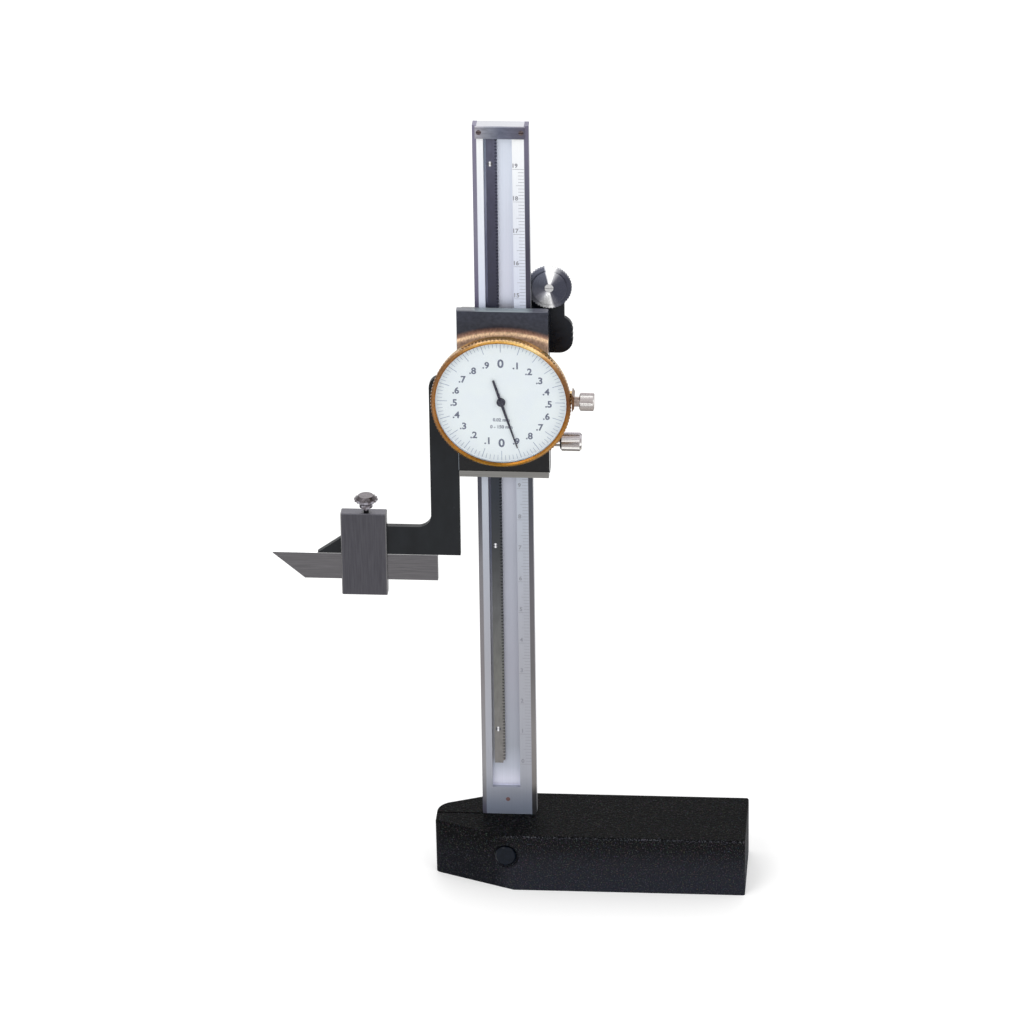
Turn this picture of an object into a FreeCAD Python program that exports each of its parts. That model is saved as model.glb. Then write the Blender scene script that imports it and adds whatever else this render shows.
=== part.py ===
import FreeCAD, Part
import math
import os

# Dial height gauge for 150 mm: a ground column in a cast base, and a sliding head whose
# pinion runs on a rack in the column. One turn of the needle is 2 mm of travel.
# Millimetres. X is to the right, Y goes away from the reader of the dial, Z is up. The
# origin is where the middle of the column's front face, carried down, meets the table.

# Base casting
base_left = -21.6
base_right = 70.1
base_half_depth = 13.7
base_height = 18.0
base_edge_radius = 0.7
nose_half_top = 5.4
nose_half_bottom = 3.6
nose_taper_deg = 23.2
nose_corner_radius = 2.0
nose_back_radius = 5.5
slit_width = 0.7
slit_back = 0.3
relief_start = 14.0
relief_end = 62.0
relief_half_depth = 8.5
relief_depth = 0.8

# Column
column_width = 16.0
column_thickness = 4.0
column_top = 237.7
foot_bottom = 3.0
bevel_width = 1.3
bevel_depth = 0.9
recess_left = -4.85
recess_right = 3.3
recess_depth = 1.6
recess_bottom = 26.9
recess_to_top = 2.3
pin_x = -0.4
pin_z = 22.9
pin_radius = 0.65
pin_depth = 2.2

# Screw that pinches the base about the foot of the column, and the plug over its head
pinch_x = -0.3
pinch_z = 11.0
pinch_radius = 2.0
pinch_head_radius = 3.0
pinch_head_height = 3.0
pinch_thread_end = 10.5
pinch_head_seat = 5.0
plug_radius = 3.1
plug_thickness = 1.65
plug_inset = 0.3
plug_dome = 0.4
mouth_margin = 0.75
mouth_depth = 1.2
hex_across_flats = 3.0
hex_depth = 1.6

# Rack and the stop above it
rack_pitch = 1.0
rack_left = -4.1
rack_tip_x = -1.05
rack_bottom = 34.9
rack_front = 0.2
rack_screw_x = -3.0
rack_screw_from_bottom = 11.2
rack_screw_from_top = 9.25
rack_screw_count = 4
stop_half_width = 7.1
stop_height = 3.5
stop_thickness = 0.9
stop_screw_x = 6.0
stop_screw_from_top = 1.6
small_screw_radius = 0.45
small_screw_head_radius = 0.75
small_screw_head_height = 0.55

# Gear train: pinion on the rack, wheel of 72 teeth beside it, 12 teeth on the needle's arbor
pressure_angle_deg = 20.0
pinion_teeth = 12
wheel_teeth = 72
needle_pinion_teeth = 12
train_module = 0.2
short_addendum = 0.7
full_addendum = 1.0
root_clearance = 0.25
rack_backlash = 0.06
train_backlash = 0.04

# Slider: channel round the column, with the arm for the scriber
slider_bottom = 130.0
slider_top = 179.4
slider_half_width = 13.1
slider_back_wall = 1.55
slider_chamfer = 1.2
slide_clearance = 0.03
face_clearance = 0.05
gib_thickness = 0.94
gib_bottom = 132.0
gib_top = 177.0
arm_left = -21.5
arm_top = 160.0
arm_bottom = 103.1
arm_foot_top = 112.0
arm_middle_y = 0.3
arm_half_thickness = 0.95
arm_slope_top_x = -42.2
arm_tip_x = -54.8
arm_inner_radius = 3.8
arm_top_radius = 3.5

# Plate on the front of the slider, and the grey reading strip under it
plate_bottom = 131.2
plate_top = 181.75
plate_thickness = 2.35
plate_chamfer = 0.25
plate_screw_low = 134.0
plate_screw_high = 163.0
plate_screw_x = 10.6
m2_radius = 1.0
m2_head_radius = 1.3
m2_head_height = 1.2
plate_thread_depth = 1.8
strip_bottom = 129.3
strip_half_width = 12.9
strip_front_inset = 0.1
strip_screw_x = 6.5
strip_screw_length = 4.0

# Dial: case, bezel, face and crystal
dial_x = -0.3
dial_z = 155.1
case_radius = 19.5
case_rim_wall = 1.1
case_back_wall = 0.6
case_depth = 3.05
case_neck_radius = 18.3
case_shoulder_depth = 1.9
case_shoulder_thickness = 0.3
case_screw_from_neck = 6.3
case_screw_up_deg = 18.0
case_screw_down_deg = -40.0
case_screw_radius = 0.8
case_screw_head_radius = 1.3
case_screw_head_height = 0.7
case_screw_in_plate = 1.6
bezel_clearance = 0.05
bezel_skirt_wall = 0.35
bezel_flange_stand_out = 0.3
bezel_front = 5.4
bezel_back = 2.45
bezel_flange_thickness = 1.2
bezel_chamfer = 0.25
lip_overlap = 0.72
lip_thickness = 0.35
lip_slope_width = 0.45
lip_slope_depth = 0.3
knurl_teeth = 120
knurl_depth = 0.25
crystal_thickness = 0.5
face_to_crystal = 0.78
face_thickness = 0.3
face_hole_radius = 0.9
keeper_thickness = 0.25
keeper_width = 0.8
snap_ring_height = 0.2
snap_ring_from_rim = 0.2
snap_ring_depth = 0.25

# Bridge over the gears, on three pillars
bridge_gap = 1.8
bridge_thickness = 0.5
pillar_radius = 1.2
pillar_screw_radius = 0.6
pillar_screw_head_radius = 1.1
pillar_screw_head_height = 0.28
pillar_corner_radius = 2.4
pillar_up_angle_deg = 38.0
pillar_up_from_neck = 4.3
pillar_down_from_neck = 6.3
pivot_radius = 0.35
pivot_clearance = 0.03

# Arbors and gears
arbor_radius = 0.6
bush_radius = 2.5
rack_pinion_front = 0.3
rack_pinion_length = 1.05
wheel_from_wall = 0.35
wheel_thickness = 0.4
take_up_thickness = 0.3
take_up_gap = 0.2
take_up_spring_radius = 3.6
take_up_spring_width = 0.3
hub_seat_radius = 1.0
hub_flange_radius = 1.6
needle_arbor_radius = 0.4
needle_pinion_from_wall = 0.15
needle_pinion_length = 1.3

# Needle
needle_angle_deg = 162.5
needle_length = 13.8
needle_tail = 6.4
needle_root_half_width = 0.42
needle_tip_half_width = 0.12
needle_tail_half_width = 0.26
needle_thickness = 0.15
needle_above_face = 0.4
collet_radius = 1.25
collet_length = 0.6
collet_above_face = 0.1

# Thumb wheel that rolls on the side of the column, and its bracket
thumb_z = 186.5
thumb_axis_from_column = 5.1
thumb_flange_radius = 6.5
thumb_flange_thickness = 1.1
thumb_hub_thickness = 0.6
thumb_edge_break = 0.15
thumb_knurl_teeth = 48
thumb_knurl_depth = 0.3
shoulder_radius = 1.0
shoulder_head_radius = 1.25
shoulder_head_height = 0.6
shoulder_thread_radius = 0.8
bracket_thickness = 1.6
bracket_eye_radius = 4.5
bracket_rest_half_width = 6.6
bracket_rest_half_height = 5.75
bracket_rest_corner = 4.2
bracket_rest_z = 171.2
bracket_neck_left = 5.6
bracket_neck_right = 4.2
bracket_screw_spread = 5.6
rest_notch_count = 4
rest_notch_step = 1.6
rest_notch_depth = 0.45

# Knurled screws: slide lock, bezel lock and scriber clamp
lock_y = 2.0
lock_z = 139.1
lock_thread_radius = 1.5
lock_head_from_slider = 2.9
lock_head_length = 6.2
lock_head_radius = 2.75
bezel_lock_y = 5.9
bezel_lock_above_dial = 0.4
bezel_lock_radius = 1.0
bezel_lock_head_from_lug = 0.1
bezel_lock_head_length = 4.2
bezel_lock_head_radius = 2.6
lug_gap = 0.1
lug_thickness = 0.7
lug_half_height = 1.7
lug_flare = 1.2
lug_depth = 1.8
lug_front = 7.1
lug_boss_radius = 1.45
lug_boss_length = 1.4
clamp_screw_x = -40.4
clamp_screw_radius = 1.25
clamp_screw_neck_radius = 0.75
clamp_collar_radius = 1.95
clamp_collar_height = 1.1
clamp_head_gap = 1.6
clamp_head_height = 2.5
clamp_head_radius = 3.45
clamp_head_chamfer = 0.9
clamp_knurl_teeth = 16
clamp_knurl_depth = 0.4
thread_clearance = 0.03
tip_clearance = 0.05
head_knurl_teeth = 40
head_knurl_depth = 0.1

# Scriber and the box that clamps it under the arm
scriber_tip_x = -67.9
scriber_right = -19.8
scriber_height = 8.2
scriber_bevel_length = 9.3
scriber_tip_flat = 0.3
scriber_thinning_length = 14.0
scriber_tip_thickness = 0.7
box_left = -47.8
box_right = -34.5
box_floor = 4.7
box_roof = 3.65
box_wall = 0.95
box_window_gap = 0.05
box_head_room = 0.6
box_chamfer = 0.25

# Worked out from the sizes above
half_column = column_width / 2
bezel_lock_z = dial_z + bezel_lock_above_dial
pressure_angle = math.radians(pressure_angle_deg)
rack_module = rack_pitch / math.pi
rack_pinion_radius = rack_module * pinion_teeth / 2
rack_pitch_x = rack_tip_x - short_addendum * rack_module
wheel_pitch_radius = train_module * wheel_teeth / 2
needle_pinion_radius = train_module * needle_pinion_teeth / 2
train_distance = wheel_pitch_radius + needle_pinion_radius
pinion_x = rack_pitch_x + rack_pinion_radius
pinion_rise = math.sqrt(train_distance ** 2 - (pinion_x - dial_x) ** 2)
pinion_z = dial_z + pinion_rise

recess_top = column_top - recess_to_top
stop_bottom = column_top - stop_height
stop_screw_z = column_top - stop_screw_from_top

plate_back = -face_clearance
plate_front = plate_back - plate_thickness
case_back = plate_front
case_floor = case_back - case_back_wall
case_front = case_back - case_depth
bezel_front_y = case_back - bezel_front
bezel_back_y = case_back - bezel_back
case_shoulder_back = case_back - case_shoulder_depth
case_shoulder_front = case_shoulder_back - case_shoulder_thickness
bezel_bore = case_radius + bezel_clearance
bezel_skirt_radius = bezel_bore + bezel_skirt_wall
bezel_radius = bezel_skirt_radius + bezel_flange_stand_out
lip_radius = case_radius - lip_overlap
crystal_front = bezel_front_y + lip_thickness
crystal_back = crystal_front + crystal_thickness
face_front = crystal_back + face_to_crystal
face_back = face_front + face_thickness
bridge_back = case_floor - bridge_gap
bridge_front = bridge_back - bridge_thickness
wheel_back = case_floor - wheel_from_wall
wheel_front = wheel_back - wheel_thickness
take_up_back = wheel_front - take_up_gap
take_up_front = take_up_back - take_up_thickness

slider_back = column_thickness + face_clearance + slider_back_wall
gib_inner = half_column + slide_clearance
gib_outer = gib_inner + gib_thickness
channel_right = gib_outer + slide_clearance
thumb_x = half_column + thumb_axis_from_column
thumb_hub_radius = thumb_axis_from_column - slide_clearance
thumb_flange_front = column_thickness + 3 * face_clearance
thumb_flange_back = thumb_flange_front + thumb_flange_thickness
thumb_hub_front = thumb_flange_front - thumb_hub_thickness

scriber_top = arm_bottom - box_window_gap
scriber_bottom = scriber_top - scriber_height
box_half_depth = arm_half_thickness + box_window_gap + box_wall
box_bottom = scriber_bottom - box_window_gap - box_floor
box_top = arm_foot_top + box_head_room + box_roof


def point(x, y, z):
    return FreeCAD.Vector(x, y, z)


def box(x_low, x_high, y_low, y_high, z_low, z_high):
    return Part.makeBox(x_high - x_low, y_high - y_low, z_high - z_low,
                        point(x_low, y_low, z_low))


def rod_x(y, z, radius, x_low, x_high):
    return Part.makeCylinder(radius, x_high - x_low, point(x_low, y, z), point(1, 0, 0))


def rod_y(x, z, radius, y_low, y_high):
    return Part.makeCylinder(radius, y_high - y_low, point(x, y_low, z), point(0, 1, 0))


def rod_z(x, y, radius, z_low, z_high):
    return Part.makeCylinder(radius, z_high - z_low, point(x, y, z_low), point(0, 0, 1))


def prism_y(corners, y_low, y_high):
    """Extrude a closed outline of (x, z) corners from y_low to y_high."""
    points = [point(x, y_low, z) for x, z in corners]
    face = Part.Face(Part.makePolygon(points + points[:1]))
    return face.extrude(point(0, y_high - y_low, 0))


def rounded_prism_y(corners, y_low, y_high):
    """Extrude an outline of (x, z, radius) corners, each corner rounded by its radius."""
    edges = []
    joints = []
    count = len(corners)
    for index, (x, z, radius) in enumerate(corners):
        here = point(x, y_low, z)
        before = corners[index - 1]
        after = corners[(index + 1) % count]
        to_before = (point(before[0], y_low, before[1]) - here).normalize()
        to_after = (point(after[0], y_low, after[1]) - here).normalize()
        if radius == 0:
            joints.append((here, here))
            continue
        half_angle = to_before.getAngle(to_after) / 2
        reach = radius / math.tan(half_angle)
        inward = (to_before + to_after).normalize()
        centre = here + inward * (radius / math.sin(half_angle))
        start = here + to_before * reach
        end = here + to_after * reach
        edges.append(Part.Arc(start, centre - inward * radius, end).toShape())
        joints.append((start, end))
    for index in range(count):
        edges.append(Part.LineSegment(joints[index][1], joints[(index + 1) % count][0]).toShape())
    wire = Part.Wire(Part.__sortEdges__(edges))
    return Part.Face(wire).extrude(point(0, y_high - y_low, 0))


def revolve_y(profile, x, z):
    """Turn a closed (radius, y) profile once about the line through (x, z) along Y."""
    points = [point(x + radius, y, z) for radius, y in profile]
    face = Part.Face(Part.makePolygon(points + points[:1]))
    return face.revolve(point(x, 0, z), point(0, 1, 0), 360)


def place_along(shape, start, direction):
    """Carry a shape made along +Z to a start point, pointing in a direction."""
    turn = FreeCAD.Rotation(point(0, 0, 1), direction)
    placed = shape.copy()
    placed.Placement = FreeCAD.Placement(start, turn)
    return placed


def joined(shapes):
    return shapes[0].multiFuse(shapes[1:]).removeSplitter()


def without(shape, tools):
    return shape.cut(tools).removeSplitter()


def serrated_ring(x, z, outer, depth, teeth, inner, y_low, y_high):
    """A ring whose rim carries straight V-shaped serrations."""
    corners = []
    for index in range(2 * teeth):
        radius = outer - depth * (index % 2)
        angle = math.pi * index / teeth
        corners.append((x + radius * math.cos(angle), z + radius * math.sin(angle)))
    return prism_y(corners, y_low, y_high).cut(rod_y(x, z, inner, y_low, y_high))


def involute(angle):
    return math.tan(angle) - angle


def half_tooth(radius, pitch_radius, thickness):
    """Half the angle of an involute tooth at a radius, the flank being radial below its base."""
    base_radius = pitch_radius * math.cos(pressure_angle)
    here = math.acos(min(1.0, base_radius / radius))
    return thickness / (2 * pitch_radius) + involute(pressure_angle) - involute(here)


def gear_outline(x, z, module, teeth, addendum, backlash, tooth_angle, steps):
    """Corners of a spur gear with one tooth centred on tooth_angle."""
    pitch_radius = module * teeth / 2
    tip = pitch_radius + addendum * module
    root = pitch_radius - (full_addendum + root_clearance) * module
    base_radius = pitch_radius * math.cos(pressure_angle)
    start = max(root, base_radius)
    radii = [start + (tip - start) * step / steps for step in range(steps + 1)]
    if root < base_radius:
        radii.insert(0, root)
    thickness = math.pi * module / 2 - backlash / 2
    corners = []
    for tooth in range(teeth):
        middle = tooth_angle + 2 * math.pi * tooth / teeth
        flank = [(radius, half_tooth(radius, pitch_radius, thickness)) for radius in radii]
        for radius, half in flank:
            corners.append((radius, middle - half))
        for radius, half in reversed(flank):
            corners.append((radius, middle + half))
    return [(x + radius * math.cos(angle), z + radius * math.sin(angle))
            for radius, angle in corners]


def gear(x, z, module, teeth, addendum, backlash, tooth_angle, steps, y_low, y_high):
    outline = gear_outline(x, z, module, teeth, addendum, backlash, tooth_angle, steps)
    return prism_y(outline, y_low, y_high)


def slotted_screw(radius, length, head_radius, head_height):
    """A screw made along +Z: thread below zero, slotted cheese head above it."""
    thread = rod_z(0, 0, radius, -length, 0)
    head = rod_z(0, 0, head_radius, 0, head_height)
    slot_half = head_radius / 6
    slot = box(-head_radius, head_radius, -slot_half, slot_half, head_height / 2, head_height)
    return without(joined([thread, head]), [slot])


def knurled_head(radius, length, chamfer, teeth, depth):
    """A knurled screw head along +Z, from zero to its length, chamfered at both ends."""
    corners = []
    for index in range(2 * teeth):
        here = radius - depth * (index % 2)
        angle = math.pi * index / teeth
        corners.append(point(here * math.cos(angle), here * math.sin(angle), chamfer))
    rim = Part.Face(Part.makePolygon(corners + corners[:1]))
    grip = rim.extrude(point(0, 0, length - 2 * chamfer))
    inner = radius - depth
    low = Part.makeCone(inner - chamfer, inner, chamfer, point(0, 0, 0), point(0, 0, 1))
    high = Part.makeCone(inner, inner - chamfer, chamfer, point(0, 0, length - chamfer),
                         point(0, 0, 1))
    return joined([grip, low, high])


def base_outline(nose_half, z):
    taper = math.tan(math.radians(nose_taper_deg))
    start = base_left + (base_half_depth - nose_half) / taper
    corners = [(base_left, -nose_half), (start, -base_half_depth),
               (base_right, -base_half_depth), (base_right, base_half_depth),
               (start, base_half_depth), (base_left, nose_half)]
    points = [point(x, y, z) for x, y in corners]
    return Part.makePolygon(points + points[:1])


def base_casting():
    body = Part.makeLoft([base_outline(nose_half_bottom, 0),
                          base_outline(nose_half_top, base_height)], True, True)
    for side, radius in ((-1, nose_corner_radius), (1, nose_back_radius)):
        corner = [edge for edge in body.Edges
                  if edge.BoundBox.XMax < base_left + face_clearance
                  and edge.BoundBox.ZLength > base_edge_radius
                  and side * edge.BoundBox.Center.y > 0]
        body = body.makeFillet(radius, corner)
    upper_edges = [edge for edge in body.Edges if edge.BoundBox.ZMax > base_height / 2]
    body = body.makeFillet(base_edge_radius, upper_edges)
    slot = box(-half_column, half_column, 0, column_thickness, foot_bottom, base_height)
    slit = box(base_left, -half_column, slit_back - slit_width, slit_back,
               foot_bottom, base_height)
    relief = box(relief_start, relief_end, -relief_half_depth, relief_half_depth,
                 0, relief_depth)
    front = -base_half_depth
    seat = front + pinch_head_seat
    shank = rod_y(pinch_x, pinch_z, pinch_radius, seat, pinch_thread_end)
    counterbore = rod_y(pinch_x, pinch_z, plug_radius, front, seat)
    mouth = rod_y(pinch_x, pinch_z, plug_radius + mouth_margin, front, front + mouth_depth)
    return without(body, [slot, slit, relief, shank, counterbore, mouth])


def column():
    body = box(-half_column, half_column, 0, column_thickness, foot_bottom, column_top)
    tools = [box(recess_left, recess_right, 0, recess_depth, recess_bottom, recess_top)]
    for side in (-1, 1):
        corner = side * half_column
        points = [point(corner, 0, foot_bottom),
                  point(corner - side * bevel_width, 0, foot_bottom),
                  point(corner, bevel_depth, foot_bottom)]
        wedge = Part.Face(Part.makePolygon(points + points[:1]))
        tools.append(wedge.extrude(point(0, 0, column_top - foot_bottom)))
        tools.append(rod_y(side * stop_screw_x, stop_screw_z, small_screw_radius,
                           0, column_thickness / 2))
    for z in rack_screw_heights():
        tools.append(rod_y(rack_screw_x, z, small_screw_radius,
                           recess_depth, column_thickness - face_clearance))
    tools.append(rod_y(pin_x, pin_z, pin_radius, 0, pin_depth))
    tools.append(rod_y(pinch_x, pinch_z, pinch_radius, 0, column_thickness))
    return without(body, tools)


def column_pin():
    return rod_y(pin_x, pin_z, pin_radius, 0, pin_depth)


def pinch_screw():
    seat = -base_half_depth + pinch_head_seat
    length = pinch_thread_end - seat
    thread = rod_z(0, 0, pinch_radius, -length, 0)
    head = rod_z(0, 0, pinch_head_radius, 0, pinch_head_height)
    corner_radius = hex_across_flats / math.sqrt(3)
    corners = [point(corner_radius * math.cos(math.radians(60 * side)),
                     corner_radius * math.sin(math.radians(60 * side)),
                     pinch_head_height) for side in range(6)]
    socket = Part.Face(Part.makePolygon(corners + corners[:1])).extrude(point(0, 0, -hex_depth))
    screw = without(joined([thread, head]), [socket])
    return place_along(screw, point(pinch_x, seat, pinch_z), point(0, -1, 0))


def pinch_plug():
    front = -base_half_depth + plug_inset
    back = front + plug_thickness
    shoulder = front + plug_dome
    profile = [(0, back), (plug_radius, back), (plug_radius, shoulder),
               (plug_radius - plug_dome, front), (0, front - plug_dome / 3)]
    return revolve_y(profile, pinch_x, pinch_z)


def rack_screw_heights():
    lowest = rack_bottom + rack_screw_from_bottom
    spacing = (recess_top - face_clearance - rack_screw_from_top - lowest) / (rack_screw_count - 1)
    return [lowest + spacing * index for index in range(rack_screw_count)]


def rack():
    dedendum = (full_addendum + root_clearance) * rack_module
    root_x = rack_pitch_x - dedendum
    half = (rack_pitch / 2 - rack_backlash / 2) / 2
    slope = math.tan(pressure_angle)
    half_tip = half - short_addendum * rack_module * slope
    half_root = half + dedendum * slope
    top = recess_top - face_clearance
    first = math.ceil((rack_bottom + half_root - pinion_z) / rack_pitch - 0.5)
    last = math.floor((top - half_root - pinion_z) / rack_pitch - 0.5)
    corners = [(rack_left, top), (rack_left, rack_bottom), (root_x, rack_bottom)]
    for tooth in range(first, last + 1):
        middle = pinion_z + (tooth + 0.5) * rack_pitch
        corners.append((root_x, middle - half_root))
        corners.append((rack_tip_x, middle - half_tip))
        corners.append((rack_tip_x, middle + half_tip))
        corners.append((root_x, middle + half_root))
    corners.append((root_x, top))
    tools = []
    for z in rack_screw_heights():
        tools.append(rod_y(rack_screw_x, z, small_screw_radius, rack_front, recess_depth))
        tools.append(rod_y(rack_screw_x, z, small_screw_head_radius,
                           rack_front, rack_front + small_screw_head_height))
    return prism_y(corners, rack_front, recess_depth).cut(tools)


def rack_screws():
    seat = rack_front + small_screw_head_height
    length = column_thickness - face_clearance - seat
    screw = slotted_screw(small_screw_radius, length, small_screw_head_radius,
                          small_screw_head_height)
    return Part.makeCompound([place_along(screw, point(rack_screw_x, seat, z), point(0, -1, 0))
                              for z in rack_screw_heights()])


def end_stop():
    body = box(-stop_half_width, stop_half_width, -stop_thickness, 0, stop_bottom, column_top)
    tools = []
    for side in (-1, 1):
        x = side * stop_screw_x
        tools.append(rod_y(x, stop_screw_z, small_screw_radius, -stop_thickness, 0))
        tools.append(rod_y(x, stop_screw_z, small_screw_head_radius, -stop_thickness,
                           -stop_thickness + small_screw_head_height))
    return without(body, tools)


def end_stop_screws():
    seat = -stop_thickness + small_screw_head_height
    screw = slotted_screw(small_screw_radius, column_thickness / 2 - seat,
                          small_screw_head_radius, small_screw_head_height)
    return Part.makeCompound([place_along(screw, point(side * stop_screw_x, seat, stop_screw_z),
                                          point(0, -1, 0)) for side in (-1, 1)])


def plate_screw_places():
    return [(side * plate_screw_x, z) for side in (-1, 1)
            for z in (plate_screw_low, plate_screw_high)]


def bracket_screw_places():
    return [(plate_screw_x, bracket_rest_z + side * bracket_screw_spread / 2)
            for side in (-1, 1)]


def slider():
    body = box(-slider_half_width, slider_half_width, plate_back, slider_back,
               slider_bottom, slider_top)
    rear = [edge for edge in body.Edges
            if edge.BoundBox.YMin > slider_back - 0.01 and edge.BoundBox.XLength < 0.01]
    body = body.makeChamfer(slider_chamfer, rear)
    channel = box(-half_column - slide_clearance, channel_right, plate_back,
                  column_thickness + face_clearance, slider_bottom, slider_top)
    wheel_room = rod_y(thumb_x, thumb_z, thumb_flange_radius + 6 * face_clearance,
                       thumb_hub_front - 2 * face_clearance, slider_back)
    tools = [channel, wheel_room]
    for x, z in plate_screw_places():
        tools.append(rod_y(x, z, m2_radius, plate_back, slider_back))
        tools.append(rod_y(x, z, m2_head_radius, slider_back - m2_head_height, slider_back))
    for x, z in bracket_screw_places():
        tools.append(rod_y(x, z, m2_radius, plate_back + plate_thickness, slider_back))
    tools.append(rod_x(lock_y, lock_z, lock_thread_radius + thread_clearance,
                       channel_right, slider_half_width))
    channel_part = without(body, tools)
    return joined([channel_part, arm()])


def arm():
    right = -slider_half_width
    corners = [(right, arm_top, 0), (arm_left, arm_top, arm_top_radius),
               (arm_left, arm_foot_top, arm_inner_radius), (arm_slope_top_x, arm_foot_top, 0),
               (arm_tip_x, arm_bottom, 0), (right, arm_bottom, 0)]
    return rounded_prism_y(corners, arm_middle_y - arm_half_thickness,
                           arm_middle_y + arm_half_thickness)


def gib():
    return box(gib_inner, gib_outer, 2 * face_clearance, column_thickness - 2 * face_clearance,
               gib_bottom, gib_top)


def case_screw_places():
    distance = case_neck_radius - case_screw_from_neck
    angles = [math.radians(angle) for angle in (case_screw_up_deg, case_screw_down_deg)]
    return [(dial_x + side * distance * math.cos(angle), dial_z + distance * math.sin(angle))
            for side in (-1, 1) for angle in angles]


def head_plate():
    body = box(-slider_half_width, slider_half_width, plate_front, plate_back,
               plate_bottom, plate_top)
    front = [edge for edge in body.Edges if edge.BoundBox.YMax < plate_front + 0.01]
    body = body.makeChamfer(plate_chamfer, front)
    tools = [rod_y(pinion_x, pinion_z, bush_radius, plate_front, plate_back),
             rod_y(dial_x, dial_z, pivot_radius + pivot_clearance, plate_front,
                   plate_back - plate_thickness / 3)]
    for x, z in case_screw_places():
        tools.append(rod_y(x, z, case_screw_radius, plate_front,
                           plate_front + case_screw_in_plate))
    for x, z in plate_screw_places():
        tools.append(rod_y(x, z, m2_radius, plate_back - plate_thread_depth, plate_back))
    for side in (-1, 1):
        tools.append(rod_z(side * strip_screw_x, strip_middle_y(), small_screw_radius,
                           plate_bottom, strip_bottom + strip_screw_length))
    return without(body, tools)


def head_plate_screws():
    seat = slider_back - m2_head_height
    length = seat - (plate_back - plate_thread_depth)
    screw = slotted_screw(m2_radius, length, m2_head_radius, m2_head_height)
    return Part.makeCompound([place_along(screw, point(x, seat, z), point(0, 1, 0))
                              for x, z in plate_screw_places()])


def strip_middle_y():
    return (plate_front + plate_back) / 2


def reading_strip():
    body = box(-strip_half_width, strip_half_width, plate_front + strip_front_inset,
               plate_back - face_clearance, strip_bottom, plate_bottom)
    tools = []
    for side in (-1, 1):
        x = side * strip_screw_x
        tools.append(rod_z(x, strip_middle_y(), small_screw_radius, strip_bottom, plate_bottom))
        tools.append(rod_z(x, strip_middle_y(), small_screw_head_radius, strip_bottom,
                           strip_bottom + small_screw_head_height))
    return without(body, tools)


def reading_strip_screws():
    seat = strip_bottom + small_screw_head_height
    length = strip_screw_length - small_screw_head_height
    screw = slotted_screw(small_screw_radius, length, small_screw_head_radius,
                          small_screw_head_height)
    return Part.makeCompound([place_along(screw,
                                          point(side * strip_screw_x, strip_middle_y(), seat),
                                          point(0, 0, -1)) for side in (-1, 1)])


def lug_inner_x():
    return dial_x + bezel_radius + lug_gap


def lug_outer_x():
    return lug_inner_x() + lug_thickness + lug_boss_length


def lock_lug():
    """Ear of the case that reaches round the bezel, with the boss of the bezel lock screw."""
    root_x = dial_x + case_neck_radius - case_rim_wall / 2
    ear_x = lug_inner_x() + lug_thickness
    low = bezel_lock_z - lug_half_height
    high = bezel_lock_z + lug_half_height
    foot = box(root_x, ear_x, case_back - lug_depth, case_back, low, high)
    ear = prism_y([(lug_inner_x(), low - lug_flare), (ear_x, low), (ear_x, high),
                   (lug_inner_x(), high + lug_flare)], -lug_front, case_back)
    boss = rod_x(-bezel_lock_y, bezel_lock_z, lug_boss_radius, ear_x - lug_thickness / 2,
                 lug_outer_x())
    hole = rod_x(-bezel_lock_y, bezel_lock_z, bezel_lock_radius + thread_clearance,
                 lug_inner_x(), lug_outer_x())
    return without(joined([foot, ear, boss]), [hole])


def dial_case():
    rim_inner = case_radius - case_rim_wall
    groove_back = case_front + snap_ring_from_rim + snap_ring_height
    groove_front = case_front + snap_ring_from_rim
    groove_radius = case_radius - snap_ring_depth
    neck_inner = case_neck_radius - case_rim_wall
    profile = [(0, case_back), (case_neck_radius, case_back),
               (case_neck_radius, case_shoulder_back), (case_radius, case_shoulder_back),
               (case_radius, groove_back),
               (groove_radius, groove_back), (groove_radius, groove_front),
               (case_radius, groove_front), (case_radius, case_front),
               (rim_inner, case_front), (rim_inner, case_shoulder_front),
               (neck_inner, case_shoulder_front), (neck_inner, case_floor), (0, case_floor)]
    cup = joined([revolve_y(profile, dial_x, dial_z), lock_lug()])
    tools = [rod_y(pinion_x, pinion_z, arbor_radius + 2 * pivot_clearance,
                   case_floor, case_back),
             rod_y(dial_x, dial_z, 2 * needle_arbor_radius, case_floor, case_back)]
    for x, z in case_screw_places():
        tools.append(rod_y(x, z, case_screw_radius, case_floor, case_back))
    for x, z in pillar_places():
        tools.append(rod_y(x, z, pillar_screw_radius, case_floor, case_back))
    return without(cup, tools)


def case_screws():
    length = plate_front + case_screw_in_plate - case_floor
    screw = slotted_screw(case_screw_radius, length, case_screw_head_radius,
                          case_screw_head_height)
    return Part.makeCompound([place_along(screw, point(x, case_floor, z), point(0, -1, 0))
                              for x, z in case_screw_places()])


def snap_ring():
    back = case_front + snap_ring_from_rim + snap_ring_height - slide_clearance
    front = case_front + snap_ring_from_rim + slide_clearance
    outer = case_radius + snap_ring_depth - slide_clearance
    inner = case_radius - snap_ring_depth
    profile = [(inner, back), (outer, back), (outer, front), (inner, front)]
    ring = revolve_y(profile, dial_x, dial_z)
    gap = box(dial_x - 1, dial_x + 1, front - 1, back + 1, dial_z - outer - 1, dial_z)
    return without(ring, [gap])


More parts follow.
